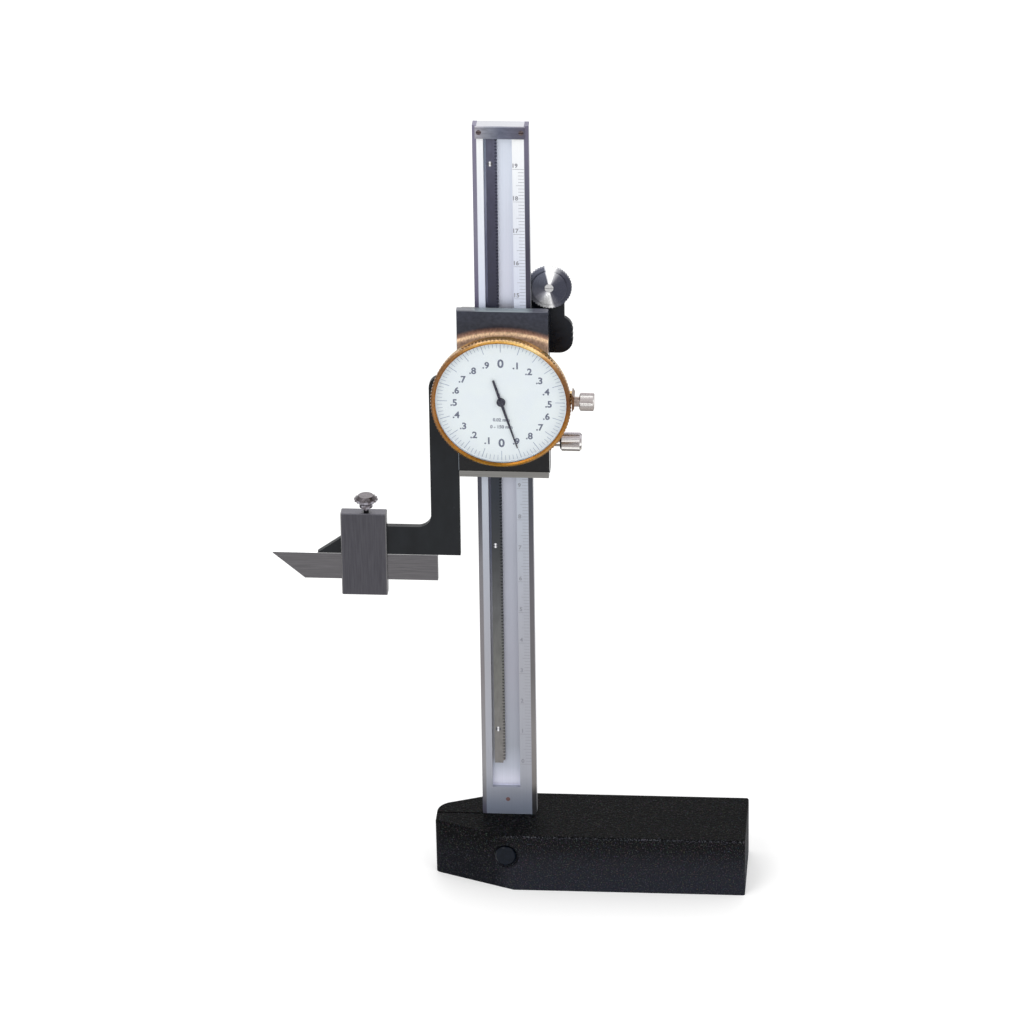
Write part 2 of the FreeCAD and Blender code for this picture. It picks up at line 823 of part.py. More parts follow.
def bezel_ring():
    groove_back = case_front + snap_ring_from_rim + snap_ring_height
    groove_front = case_front + snap_ring_from_rim
    groove_radius = case_radius + snap_ring_depth + slide_clearance
    flange_back = bezel_front_y + bezel_flange_thickness
    flange_inner = bezel_radius - knurl_depth
    profile = [(bezel_bore, bezel_back_y), (bezel_skirt_radius, bezel_back_y),
               (bezel_skirt_radius, flange_back), (flange_inner, flange_back),
               (flange_inner, bezel_front_y + bezel_chamfer),
               (flange_inner - bezel_chamfer, bezel_front_y),
               (lip_radius + lip_slope_width, bezel_front_y),
               (lip_radius, bezel_front_y + lip_slope_depth), (lip_radius, crystal_front),
               (bezel_bore, crystal_front), (bezel_bore, groove_front),
               (groove_radius, groove_front), (groove_radius, groove_back),
               (bezel_bore, groove_back)]
    body = revolve_y(profile, dial_x, dial_z)
    band = serrated_ring(dial_x, dial_z, bezel_radius, knurl_depth, knurl_teeth,
                         bezel_skirt_radius, bezel_front_y + bezel_chamfer, flange_back)
    return joined([body, band])


def crystal():
    return rod_y(dial_x, dial_z, case_radius, crystal_front, crystal_back)


def crystal_spacer():
    profile = [(lip_radius, crystal_back), (case_radius, crystal_back),
               (case_radius, face_front), (lip_radius, face_front)]
    return revolve_y(profile, dial_x, dial_z)


def dial_face():
    disc = rod_y(dial_x, dial_z, case_radius, face_front, face_back)
    return disc.cut(rod_y(dial_x, dial_z, face_hole_radius, face_front, face_back))


def dial_keeper():
    inner = case_radius - keeper_width
    profile = [(inner, face_back), (case_radius, face_back),
               (case_radius, face_back + keeper_thickness),
               (inner, face_back + keeper_thickness)]
    return revolve_y(profile, dial_x, dial_z)


def pillar_places():
    angle = math.radians(pillar_up_angle_deg)
    distance = case_neck_radius - pillar_up_from_neck
    across = distance * math.cos(angle)
    up = distance * math.sin(angle)
    return [(dial_x + across, dial_z + up), (dial_x - across, dial_z + up),
            (dial_x, dial_z - (case_neck_radius - pillar_down_from_neck))]


def bridge_pillars():
    pillars = []
    for x, z in pillar_places():
        outside = rod_y(x, z, pillar_radius, bridge_back, case_floor)
        pillars.append(outside.cut(rod_y(x, z, pillar_screw_radius, bridge_back, case_floor)))
    return Part.makeCompound(pillars)


def gear_bridge():
    right, left, down = pillar_places()
    reach = 2 * pillar_corner_radius
    corners = [(right[0] + reach, right[1] + pillar_corner_radius, pillar_corner_radius),
               (left[0] - reach, left[1] + pillar_corner_radius, pillar_corner_radius),
               (down[0] - reach, down[1] - pillar_corner_radius, pillar_corner_radius),
               (down[0] + reach, down[1] - pillar_corner_radius, pillar_corner_radius)]
    body = rounded_prism_y(corners, bridge_front, bridge_back)
    tools = [rod_y(pinion_x, pinion_z, pivot_radius + pivot_clearance,
                   bridge_front, bridge_back),
             rod_y(dial_x, dial_z, needle_arbor_radius + pivot_clearance,
                   bridge_front, bridge_back)]
    for x, z in pillar_places():
        tools.append(rod_y(x, z, pillar_screw_radius, bridge_front, bridge_back))
    return without(body, tools)


def bridge_screws():
    length = case_back - bridge_front
    screw = slotted_screw(pillar_screw_radius, length, pillar_screw_head_radius,
                          pillar_screw_head_height)
    return Part.makeCompound([place_along(screw, point(x, bridge_front, z), point(0, -1, 0))
                              for x, z in pillar_places()])


def pinion_bush():
    outside = rod_y(pinion_x, pinion_z, bush_radius, plate_front, plate_back)
    bore = rod_y(pinion_x, pinion_z, arbor_radius + pivot_clearance, plate_front, plate_back)
    return outside.cut(bore)


def rack_pinion_arbor():
    """Arbor of the rack pinion: teeth in the column's recess, pivot in the bridge."""
    teeth = gear(pinion_x, pinion_z, rack_module, pinion_teeth, full_addendum, rack_backlash,
                 math.pi, 3, rack_pinion_front, rack_pinion_front + rack_pinion_length)
    shoulder = bridge_back + 2 * face_clearance
    shaft = rod_y(pinion_x, pinion_z, arbor_radius, shoulder, rack_pinion_front)
    pivot = rod_y(pinion_x, pinion_z, pivot_radius, bridge_front, shoulder)
    return joined([teeth, shaft, pivot])


def gear_hub():
    front = take_up_front
    seat = rod_y(pinion_x, pinion_z, hub_seat_radius, front, wheel_back)
    flange = rod_y(pinion_x, pinion_z, hub_flange_radius, wheel_back,
                   wheel_back + wheel_from_wall / 2)
    bore = rod_y(pinion_x, pinion_z, arbor_radius, front, case_floor)
    return without(joined([seat, flange]), [bore])


def line_of_centres():
    return math.atan2(dial_z - pinion_z, dial_x - pinion_x)


def train_wheel(y_low, y_high):
    teeth = gear(pinion_x, pinion_z, train_module, wheel_teeth, short_addendum, train_backlash,
                 line_of_centres(), 1, y_low, y_high)
    return teeth.cut(rod_y(pinion_x, pinion_z, hub_seat_radius, y_low, y_high))


def drive_gear():
    return train_wheel(wheel_front, wheel_back)


def take_up_gear():
    return train_wheel(take_up_front, take_up_back)


def take_up_spring():
    """Open ring of flat wire between the two wheels; it turns one against the other."""
    outer = take_up_spring_radius + take_up_spring_width / 2
    inner = take_up_spring_radius - take_up_spring_width / 2
    ring = rod_y(pinion_x, pinion_z, outer, take_up_back, wheel_front)
    gap = box(pinion_x, pinion_x + outer, take_up_back, wheel_front,
              pinion_z - take_up_spring_width, pinion_z + take_up_spring_width)
    return without(ring, [rod_y(pinion_x, pinion_z, inner, take_up_back, wheel_front), gap])


def needle_arbor():
    half_pitch = math.pi / needle_pinion_teeth
    pinion_back = case_floor - needle_pinion_from_wall
    pinion_front = pinion_back - needle_pinion_length
    teeth = gear(dial_x, dial_z, train_module, needle_pinion_teeth, full_addendum,
                 train_backlash, line_of_centres() + math.pi + half_pitch, 3,
                 pinion_front, pinion_back)
    pivot_end = plate_back - plate_thickness / 3 - 2 * face_clearance
    pivot = rod_y(dial_x, dial_z, pivot_radius, pinion_back, pivot_end)
    shaft = rod_y(dial_x, dial_z, needle_arbor_radius, collet_front(), pinion_front)
    return joined([teeth, pivot, shaft])


def collet_back():
    return face_front - collet_above_face


def collet_front():
    return collet_back() - collet_length


def needle_collet():
    outside = rod_y(dial_x, dial_z, collet_radius, collet_front(), collet_back())
    return outside.cut(rod_y(dial_x, dial_z, needle_arbor_radius, collet_front(), collet_back()))


def needle():
    back = face_front - needle_above_face
    front = back - needle_thickness
    blade = [(needle_tip_half_width, needle_length), (needle_root_half_width, 0),
             (needle_tail_half_width, -needle_tail)]
    outline = blade + [(-half, along) for half, along in reversed(blade)]
    turn = math.radians(needle_angle_deg)
    corners = [(dial_x + half * math.cos(turn) + along * math.sin(turn),
                dial_z - half * math.sin(turn) + along * math.cos(turn))
               for half, along in outline]
    pointer = prism_y(corners, front, back)
    return pointer.cut(rod_y(dial_x, dial_z, collet_radius, front, back))


def axle_seat():
    """Where the head of the shoulder screw bears, sunk in the front of the wheel's hub."""
    return thumb_hub_front + shoulder_head_height + face_clearance


def thumb_wheel():
    profile = [(0, thumb_hub_front), (thumb_hub_radius - thumb_edge_break, thumb_hub_front),
               (thumb_hub_radius, thumb_hub_front + thumb_edge_break),
               (thumb_hub_radius, thumb_flange_back), (0, thumb_flange_back)]
    hub = revolve_y(profile, thumb_x, thumb_z)
    flange = serrated_ring(thumb_x, thumb_z, thumb_flange_radius, thumb_knurl_depth,
                           thumb_knurl_teeth, thumb_hub_radius / 2,
                           thumb_flange_front, thumb_flange_back)
    bore = rod_y(thumb_x, thumb_z, shoulder_radius + pivot_clearance,
                 thumb_hub_front, thumb_flange_back)
    sunk = rod_y(thumb_x, thumb_z, shoulder_head_radius + face_clearance,
                 thumb_hub_front, axle_seat() + face_clearance)
    return without(joined([hub, flange]), [bore, sunk])


def thumb_wheel_axle():
    """Shoulder screw: the wheel turns on the shoulder, the thread is in the bracket."""
    screw = slotted_screw(shoulder_radius, slider_back - axle_seat(), shoulder_head_radius,
                          shoulder_head_height)
    shank = place_along(screw, point(thumb_x, axle_seat(), thumb_z), point(0, -1, 0))
    thread = rod_y(thumb_x, thumb_z, shoulder_thread_radius, slider_back,
                   slider_back + bracket_thickness)
    return joined([shank, thread])


def wheel_bracket():
    back = slider_back + bracket_thickness
    left = thumb_x - bracket_rest_half_width
    right = thumb_x + bracket_rest_half_width
    low = bracket_rest_z - bracket_rest_half_height
    high = bracket_rest_z + bracket_rest_half_height
    corners = [(x, z, bracket_rest_corner)
               for x, z in ((left, low), (right, low), (right, high), (left, high))]
    rest = rounded_prism_y(corners, slider_back, back)
    eye = rod_y(thumb_x, thumb_z, bracket_eye_radius, slider_back, back)
    neck = box(thumb_x - bracket_neck_left, thumb_x + bracket_neck_right,
               slider_back, back, bracket_rest_z, thumb_z)
    tools = [rod_y(thumb_x, thumb_z, shoulder_thread_radius, slider_back, back)]
    for x, z in bracket_screw_places():
        tools.append(rod_y(x, z, m2_radius, slider_back, back))
    for index in range(rest_notch_count):
        z = bracket_rest_z + rest_notch_step * (index - (rest_notch_count - 1) / 2)
        half = rest_notch_step / 3
        notch = [(right, z - half), (right - rest_notch_depth, z), (right, z + half)]
        tools.append(prism_y(notch, slider_back, back))
    return without(joined([rest, eye, neck]), tools)


def bracket_screws():
    seat = slider_back + bracket_thickness
    screw = slotted_screw(m2_radius, seat - (plate_back + plate_thickness), m2_head_radius,
                          m2_head_height)
    return Part.makeCompound([place_along(screw, point(x, seat, z), point(0, 1, 0))
                              for x, z in bracket_screw_places()])


def slide_lock_screw():
    tip = gib_outer + tip_clearance
    head_start = slider_half_width + lock_head_from_slider
    shank = rod_x(lock_y, lock_z, lock_thread_radius, tip, head_start)
    head = knurled_head(lock_head_radius, lock_head_length, 2 * plate_chamfer,
                        head_knurl_teeth, head_knurl_depth)
    placed = place_along(head, point(head_start, lock_y, lock_z), point(1, 0, 0))
    return joined([shank, placed])


def bezel_lock_screw():
    tip = dial_x + bezel_radius + tip_clearance
    head_start = lug_outer_x() + bezel_lock_head_from_lug
    shank = rod_x(-bezel_lock_y, bezel_lock_z, bezel_lock_radius, tip, head_start)
    head = knurled_head(bezel_lock_head_radius, bezel_lock_head_length, plate_chamfer,
                        head_knurl_teeth, head_knurl_depth)
    placed = place_along(head, point(head_start, -bezel_lock_y, bezel_lock_z),
                         point(1, 0, 0))
    return joined([shank, placed])


def clamp_box():
    body = box(box_left, box_right, arm_middle_y - box_half_depth,
               arm_middle_y + box_half_depth, box_bottom, box_top)
    body = body.makeChamfer(box_chamfer, body.Edges)
    window_half = arm_half_thickness + box_window_gap
    window = box(box_left, box_right, arm_middle_y - window_half, arm_middle_y + window_half,
                 scriber_bottom - box_window_gap, arm_foot_top + box_head_room)
    thread = rod_z(clamp_screw_x, arm_middle_y, clamp_screw_radius + thread_clearance,
                   arm_foot_top, box_top)
    return without(body, [window, thread])


def clamp_screw():
    tip = arm_foot_top + tip_clearance
    head_bottom = box_top + clamp_head_gap + clamp_collar_height
    thread = rod_z(clamp_screw_x, arm_middle_y, clamp_screw_radius, tip, box_top)
    neck = rod_z(clamp_screw_x, arm_middle_y, clamp_screw_neck_radius, box_top, head_bottom)
    collar = rod_z(clamp_screw_x, arm_middle_y, clamp_collar_radius,
                   box_top + clamp_head_gap, head_bottom)
    head = knurled_head(clamp_head_radius, clamp_head_height, clamp_head_chamfer,
                        clamp_knurl_teeth, clamp_knurl_depth)
    placed = place_along(head, point(clamp_screw_x, arm_middle_y, head_bottom), point(0, 0, 1))
    return joined([thread, neck, collar, placed])


def scriber():
    front = arm_middle_y - arm_half_thickness
    back = arm_middle_y + arm_half_thickness
    corners = [(scriber_tip_x, scriber_top), (scriber_right, scriber_top),
               (scriber_right, scriber_bottom),
               (scriber_tip_x + scriber_bevel_length, scriber_bottom),
               (scriber_tip_x, scriber_top - scriber_tip_flat)]
    blade = prism_y(corners, front, back)
    start = scriber_tip_x + scriber_thinning_length
    points = [point(scriber_tip_x, front + scriber_tip_thickness, scriber_bottom),
              point(scriber_tip_x, back, scriber_bottom), point(start, back, scriber_bottom)]
    wedge = Part.Face(Part.makePolygon(points + points[:1]))
    return blade.cut(wedge.extrude(point(0, 0, scriber_height)))


NODES = {
    "base_casting": base_casting,
    "column": column,
    "column_pin": column_pin,
    "pinch_screw": pinch_screw,
    "pinch_screw_plug": pinch_plug,
    "rack": rack,
    "rack_screws": rack_screws,
    "end_stop": end_stop,
    "end_stop_screws": end_stop_screws,
    "slider": slider,
    "gib_strip": gib,
    "head_plate": head_plate,
    "head_plate_screws": head_plate_screws,
    "reading_strip": reading_strip,
    "reading_strip_screws": reading_strip_screws,
    "dial_case": dial_case,
    "dial_case_screws": case_screws,
    "bezel_snap_ring": snap_ring,
    "gear_bridge": gear_bridge,
    "bridge_pillars": bridge_pillars,
    "bridge_screws": bridge_screws,
    "pinion_bush": pinion_bush,
    "wheel_bracket": wheel_bracket,
    "wheel_bracket_screws": bracket_screws,
    "thumb_wheel_axle": thumb_wheel_axle,
    "bezel_ring": bezel_ring,
    "crystal": crystal,
    "crystal_spacer": crystal_spacer,
    "dial_face": dial_face,
    "dial_keeper": dial_keeper,
    "rack_pinion_arbor": rack_pinion_arbor,
    "gear_hub": gear_hub,
    "drive_gear": drive_gear,
    "take_up_gear": take_up_gear,
    "take_up_spring": take_up_spring,
    "needle_arbor": needle_arbor,
    "needle_collet": needle_collet,
    "needle": needle,
    "thumb_wheel": thumb_wheel,
    "slide_lock_screw": slide_lock_screw,
    "bezel_lock_screw": bezel_lock_screw,
    "clamp_box": clamp_box,
    "clamp_screw": clamp_screw,
    "scriber": scriber,
}

os.makedirs("parts", exist_ok=True)
for node, make in NODES.items():
    make().exportStep("parts/" + node + ".step")
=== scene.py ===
import math

import bpy
from mathutils import Matrix, Vector

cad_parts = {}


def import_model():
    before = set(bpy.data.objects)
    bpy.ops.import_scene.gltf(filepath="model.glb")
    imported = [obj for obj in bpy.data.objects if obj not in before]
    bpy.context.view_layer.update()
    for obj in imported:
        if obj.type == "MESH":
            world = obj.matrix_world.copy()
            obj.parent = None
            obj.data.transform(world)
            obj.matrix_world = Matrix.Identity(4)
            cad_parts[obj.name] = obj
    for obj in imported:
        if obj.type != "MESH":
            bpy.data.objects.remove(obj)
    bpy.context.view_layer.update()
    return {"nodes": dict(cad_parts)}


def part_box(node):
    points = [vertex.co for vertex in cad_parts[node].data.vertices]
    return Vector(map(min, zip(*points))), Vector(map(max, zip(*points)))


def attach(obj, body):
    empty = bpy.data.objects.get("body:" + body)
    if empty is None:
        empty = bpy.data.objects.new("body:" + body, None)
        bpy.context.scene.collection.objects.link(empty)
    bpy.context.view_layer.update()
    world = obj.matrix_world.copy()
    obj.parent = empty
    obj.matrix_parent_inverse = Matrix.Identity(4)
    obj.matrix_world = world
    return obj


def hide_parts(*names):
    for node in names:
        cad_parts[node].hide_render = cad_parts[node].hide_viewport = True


# Looks of the dial height gauge. Lengths are in millimetres here and turned to metres by MM.
MM = 0.001

# Camera, fitted to the edges of the base, the column and the head in the photograph
camera_place = (140.8, -1768.4, 982.3)
camera_pitch_deg = 26.0
camera_yaw_deg = -4.49
camera_roll_deg = -0.79
camera_focal_pixels = 6833.0
picture_pixels = 1024.0
sensor_width = 36.0
camera_far = 50000.0

# World, floor and lamps
world_strength = 0.86
world_colour = (1.0, 1.0, 1.0)
floor_colour = (0.80, 0.80, 0.80)
floor_glow = 0.25
floor_half_width = 6000.0
key_place = (-420.0, -700.0, 900.0)
key_size = 500.0
key_power = 2.8
fill_place = (700.0, -500.0, 700.0)
fill_size = 700.0
fill_power = 1.6
back_place = (0.0, 900.0, 800.0)
back_size = 800.0
back_power = 2.4
light_target = (10.0, 0.0, 110.0)

# Dial markings. The numerals stand on an oval, a little low on the face, as in the photograph.
mark_lift = 0.02
divisions = 100
divisions_per_numeral = 5
tick_outer_radius = 18.4
tick_length = 1.5
long_tick_length = 2.9
tick_width = 0.13
long_tick_width = 0.18
numeral_radius_x = 13.6
numeral_radius_z = 12.5
numeral_drop = 0.5
numeral_height = 2.15
zero_height = 2.75
numeral_weight = 0.03
note_height = 1.05
dial_notes = ((-5.2, "0.02 mm"), (-7.4, "0 - 150 mm"))

# Needle beyond its hub: how much longer and wider than the solid
needle_hub = 1.4
tip_stretch = 1.10
tip_widen = 1.35
tail_stretch = 1.16
tail_widen = 1.25

# Scale on the column
scale_zero = 34.67
scale_length = 190
scale_right = 6.65
scale_short = 1.7
scale_middle = 2.3
scale_long = 3.25
scale_width = 0.10
scale_end_margin = 4.0
scale_numeral_height = 1.35
scale_numeral_x = 4.15
scale_numeral_lift = 1.1

# Base, column, rack and stop. Each list of tones gives places and the colour there: heights
# for the base, the column and the rack, and places along X for the stop. The tones of the base,
# the column and the rack are painted light: painted highlights, painted reflections and painted
# shade.
base_top = 18.0
# Painted highlight on the base: lighter low on the front, darker towards its top edge
base_front = ((2.0, (0.0170, 0.0185, 0.0265)), (9.0, (0.0150, 0.0155, 0.0210)),
              (15.0, (0.0070, 0.0070, 0.0085)), (17.8, (0.0060, 0.0060, 0.0072)))
column_head = 237.7
bevel_start = 6.72
# Painted reflections on the column's lands and recess floor: lighter towards the top and darker
# towards the foot; the recess floor is light again at its very foot
column_land = ((20.0, (0.265, 0.30, 0.39)), (25.0, (0.28, 0.30, 0.36)),
               (31.0, (0.37, 0.38, 0.43)), (65.0, (0.375, 0.38, 0.42)),
               (85.0, (0.39, 0.40, 0.45)), (122.0, (0.455, 0.49, 0.56)),
               (187.0, (0.66, 0.70, 0.82)), (232.0, (0.90, 0.915, 0.925)))
column_floor = ((29.0, (0.72, 0.73, 0.85)), (33.0, (0.51, 0.54, 0.63)),
                (40.0, (0.37, 0.39, 0.45)), (65.0, (0.385, 0.39, 0.455)),
                (105.0, (0.418, 0.435, 0.505)), (187.0, (0.65, 0.67, 0.78)),
                (230.0, (0.70, 0.75, 0.85)))
# Painted shade in the groove beside the rack, darkest along the head
column_groove = ((40.0, (1.0, 0.97, 0.92)), (65.0, (0.70, 0.69, 0.66)),
                 (85.0, (0.88, 0.87, 0.85)), (105.0, (0.40, 0.42, 0.55)),
                 (125.0, (0.28, 0.27, 0.34)), (202.0, (0.37, 0.37, 0.48)),
                 (215.0, (0.70, 0.70, 0.80)), (230.0, (0.52, 0.57, 0.66)))
# Painted reflections on the bevels: darkest along the head and at the foot
left_bevel = ((20.0, (0.12, 0.12, 0.17)), (24.0, (0.20, 0.20, 0.22)),
              (34.0, (0.27, 0.265, 0.275)), (65.0, (0.205, 0.19, 0.20)),
              (100.0, (0.19, 0.185, 0.20)), (122.0, (0.060, 0.063, 0.082)),
              (187.0, (0.125, 0.11, 0.185)), (203.0, (0.19, 0.18, 0.25)),
              (230.0, (0.195, 0.18, 0.26)))
right_bevel = ((20.0, (0.040, 0.040, 0.045)), (24.5, (0.065, 0.065, 0.070)),
               (28.0, (0.30, 0.28, 0.27)), (45.0, (0.25, 0.235, 0.235)),
               (65.0, (0.139, 0.132, 0.135)), (90.0, (0.120, 0.113, 0.126)),
               (122.0, (0.048, 0.052, 0.068)), (200.0, (0.040, 0.037, 0.066)),
               (215.0, (0.085, 0.086, 0.13)), (231.0, (0.145, 0.134, 0.20)))
column_flank = 7.6
column_rear = 2.4
column_plain = (0.42, 0.43, 0.46)
# Painted shade: the column's top face is darker than its lands, as it takes more light
column_crown = (0.54, 0.545, 0.58)
# Painted shade and painted reflection of the head on the rack: darkest along the head, lighter
# towards its foot
rack_tones = ((36.0, (0.20, 0.19, 0.185)), (65.0, (0.145, 0.145, 0.135)),
              (85.0, (0.095, 0.097, 0.10)), (105.0, (0.031, 0.034, 0.038)),
              (122.0, (0.013, 0.018, 0.028)), (187.0, (0.024, 0.024, 0.046)),
              (215.0, (0.046, 0.045, 0.080)), (230.0, (0.080, 0.082, 0.127)))
rack_screw_line = 3.0
stop_tones = ((-6.5, (0.33, 0.32, 0.36)), (-4.0, (0.22, 0.23, 0.27)),
              (0.0, (0.13, 0.14, 0.19)), (6.5, (0.11, 0.105, 0.14)))

# Head plate: a painted reflection by height, lighter towards the top, and a painted reflection of
# the bezel in a flat arc above the dial
# Painted reflection on the head plate, lighter towards the top
plate_tones = ((131.0, (0.008, 0.008, 0.009)), (150.0, (0.013, 0.013, 0.014)),
               (176.0, (0.028, 0.030, 0.042)), (181.0, (0.032, 0.035, 0.052)))
# Middle and reach of the painted reflection of the bezel on the plate
bezel_reflection_x = 0.4
bezel_reflection_z = 137.4
bezel_reflection_edge = 38.7
plate_bezel_reflection = ((34.0, (0.40, 0.29, 0.22)), (36.0, (0.37, 0.25, 0.19)),
              (36.6, (0.52, 0.36, 0.26)), (37.1, (1.0, 0.72, 0.48)),
              (37.6, (1.0, 0.72, 0.48)), (38.0, (0.46, 0.28, 0.20)),
              (38.6, (0.20, 0.115, 0.090)), (39.8, (0.05, 0.035, 0.040)))
# Painted reflection of the column on the plate's top face, lighter in the middle, by X
plate_top_reflection = ((-9.0, (0.15, 0.155, 0.18)), (-6.0, (0.26, 0.30, 0.33)),
               (7.0, (0.26, 0.30, 0.33)), (9.0, (0.12, 0.125, 0.155)))
# Painted light on the slider's top face, by X: a painted highlight at the left and painted shade
# at the right
slider_top_light_and_shade = ((-9.0, (0.34, 0.33, 0.32)), (-7.5, (0.12, 0.13, 0.15)),
                (7.5, (0.12, 0.13, 0.15)), (9.0, (0.018, 0.020, 0.033)))

# Gilt of the bezel and of the dial's case, with the case's lug. The tones by angle are painted
# highlights and painted shade: brightest above and to the upper right, darkest at the sides.
gilt_face = ((-180.0, (0.27, 0.132, 0.010)), (-135.0, (0.28, 0.125, 0.016)),
             (-100.0, (0.31, 0.145, 0.050)), (-60.0, (0.22, 0.100, 0.034)),
             (-40.0, (0.26, 0.115, 0.030)), (-22.0, (0.52, 0.27, 0.060)),
             (0.0, (0.63, 0.33, 0.060)), (15.0, (0.80, 0.50, 0.15)),
             (30.0, (0.88, 0.70, 0.36)), (42.0, (0.46, 0.23, 0.075)),
             (60.0, (0.22, 0.105, 0.036)), (90.0, (0.14, 0.052, 0.018)),
             (115.0, (0.34, 0.150, 0.024)), (135.0, (0.44, 0.22, 0.060)),
             (158.0, (0.27, 0.120, 0.012)), (180.0, (0.27, 0.132, 0.010)))
gilt_side = ((-180.0, (0.020, 0.014, 0.010)), (-145.0, (0.080, 0.045, 0.018)),
             (-120.0, (0.20, 0.09, 0.024)),
             (-90.0, (0.11, 0.045, 0.014)), (-45.0, (0.30, 0.15, 0.060)),
             (-15.0, (0.66, 0.42, 0.22)), (0.0, (0.85, 0.55, 0.27)),
             (20.0, (0.90, 0.62, 0.29)), (42.0, (0.50, 0.29, 0.12)),
             (60.0, (0.27, 0.13, 0.050)), (90.0, (0.16, 0.067, 0.024)),
             (120.0, (0.34, 0.155, 0.030)), (145.0, (0.080, 0.045, 0.018)),
             (180.0, (0.020, 0.014, 0.010)))
gilt_flange = 1.35
# Painted highlight on the gilt behind the flange
gilt_behind_highlight = (0.56, 0.37, 0.15)
# Painted shade on the bezel's inner slope
gilt_slope_shade = (0.92, 0.76, 0.40)
gilt_lug = (0.13, 0.060, 0.026)
gilt_boss = (0.34, 0.27, 0.24)
gilt_rim = 19.72
gilt_slope = 19.2
lug_start = 19.95
lug_boss = 20.75

# Painted highlights and painted shade of the turned thumb wheel, in sectors by the angle from
# straight up
wheel_highlight_sectors = ((-180.0, (1.0, 1.0, 1.0)), (-162.0, (1.0, 1.0, 1.0)),
                 (-150.0, (0.64, 0.64, 0.67)), (-140.0, (0.32, 0.32, 0.36)),
                 (-118.0, (0.085, 0.085, 0.11)), (-80.0, (0.040, 0.044, 0.064)),
                 (-14.0, (0.060, 0.065, 0.088)), (-5.0, (0.95, 0.95, 0.97)),
                 (2.0, (1.0, 1.0, 1.0)), (17.0, (1.0, 1.0, 1.0)), (24.0, (0.40, 0.40, 0.43)),
                 (38.0, (0.080, 0.080, 0.105)), (60.0, (0.037, 0.039, 0.060)),
                 (140.0, (0.033, 0.035, 0.056)), (164.0, (0.12, 0.12, 0.145)),
                 (172.0, (0.98, 0.98, 0.99)), (180.0, (1.0, 1.0, 1.0)))
# Painted highlight: the wheel's upper left is made lighter by this factor
wheel_highlight_lift = 1.9

# Painted highlights and painted shade in bands on the two lock screws, by the angle above the
# reader's side
slide_lock_bands = ((-64.0, (0.30, 0.28, 0.26)), (-27.0, (0.46, 0.42, 0.38)),
                    (-16.0, (0.12, 0.115, 0.11)), (-8.0, (0.14, 0.13, 0.13)),
                    (0.0, (0.95, 0.92, 0.90)), (10.0, (1.0, 0.98, 0.96)),
                    (20.0, (0.46, 0.42, 0.42)), (42.0, (0.44, 0.40, 0.41)),
                    (52.0, (0.68, 0.64, 0.68)), (74.0, (0.68, 0.64, 0.68)),
                    (90.0, (0.20, 0.17, 0.17)), (116.0, (0.22, 0.20, 0.20)))
bezel_lock_bands = ((-64.0, (0.42, 0.38, 0.36)), (-44.0, (0.40, 0.36, 0.34)),
                    (-26.0, (0.20, 0.175, 0.16)), (0.0, (0.36, 0.32, 0.30)),
                    (20.0, (0.62, 0.58, 0.56)), (29.0, (0.98, 0.95, 0.93)),
                    (38.0, (1.0, 0.98, 0.96)), (46.0, (0.50, 0.46, 0.46)),
                    (66.0, (0.62, 0.56, 0.57)), (86.0, (0.34, 0.30, 0.30)),
                    (98.0, (0.17, 0.15, 0.145)), (116.0, (0.25, 0.22, 0.21)))

# Inks of the dial's numerals and ticks, and of the lines on the column
ink = (0.13, 0.145, 0.20)
tick_ink = (0.38, 0.44, 0.55)
scale_ink = (0.22, 0.225, 0.25)

# Below, a grain is the size of a noise along X, Y and Z, a share is a factor of a blend, and
# tones are the two levels between which a noise varies a colour.

# Crinkle paint: cells, painted shade on the top and the nose, coloured flecks, and a painted
# highlight along the top front edge
crinkle_cell = 0.85
crinkle_smoothness = 0.5
crinkle_fine = 0.38
crinkle_depth = 0.16
crinkle_strength = 0.8
crinkle_roughness = (0.45, 0.68)
crinkle_specular = 0.026
# Painted shade: the base's top face and its nose are made darker
shaded_top_depth = 0.3
shaded_top_share = 0.75
shaded_nose_share = 0.55
shaded_nose_end = (-4.0, 1.0)
fleck_grain = 0.7
fleck_noise = (0.52, 0.72)
fleck_share = 0.75
fleck_share_shaded = 0.60
fleck_plain = (0.075, 0.080, 0.11)
fleck_tint_share = 0.6
fleck_level = 0.26
# Painted highlight along the base's top front edge, in flecks
edge_highlight_depth = 0.6
edge_highlight_front = (-13.6, -13.1)
edge_highlight_noise = (0.50, 0.62)
edge_highlight_share = 0.6
edge_highlight_left = -1.0
edge_highlight_colour = (0.10, 0.105, 0.125)

# Ground column: drawn lines and clouds, the floor of the recess and the groove beside the rack
line_grain = (0.10, 0.10, 60.0)
line_tones = (0.93, 1.02)
cloud_grain = (9.0, 9.0, 26.0)
cloud_tones = (0.95, 1.0)
recess_floor = 1.35
groove_right = (-4.2, -4.0)
groove_foot = 34.5
bevel_depth = 1.0
column_crown_depth = 0.05
column_roughness = (0.34, 0.48)
column_metal = 0.35

# Stop plate and rack
stop_grain = (2.0, 2.0, 0.6)
stop_mottle = (0.80, 1.15)
rack_grain = (0.9, 0.9, 3.0)
rack_mottle = (0.80, 1.12)
rack_slot_half_width = 0.25
rack_slot_tone = (0.75, 0.75, 0.77)
rack_head_tone = (0.10, 0.10, 0.115)

# Head plate and slider
plate_grain = (14.0, 14.0, 3.0)
plate_tone_range = (0.9, 1.1)
# Dots in the painted reflection of the bezel
dot_grain = (0.55, 3.0, 0.9)
dot_tones = (0.66, 1.25)
mottle_grain = (1.1, 1.1, 0.9)
mottle_tones = (0.80, 1.22)
bezel_reflection_fade = 0.9
bezel_reflection_bottom = 166.0
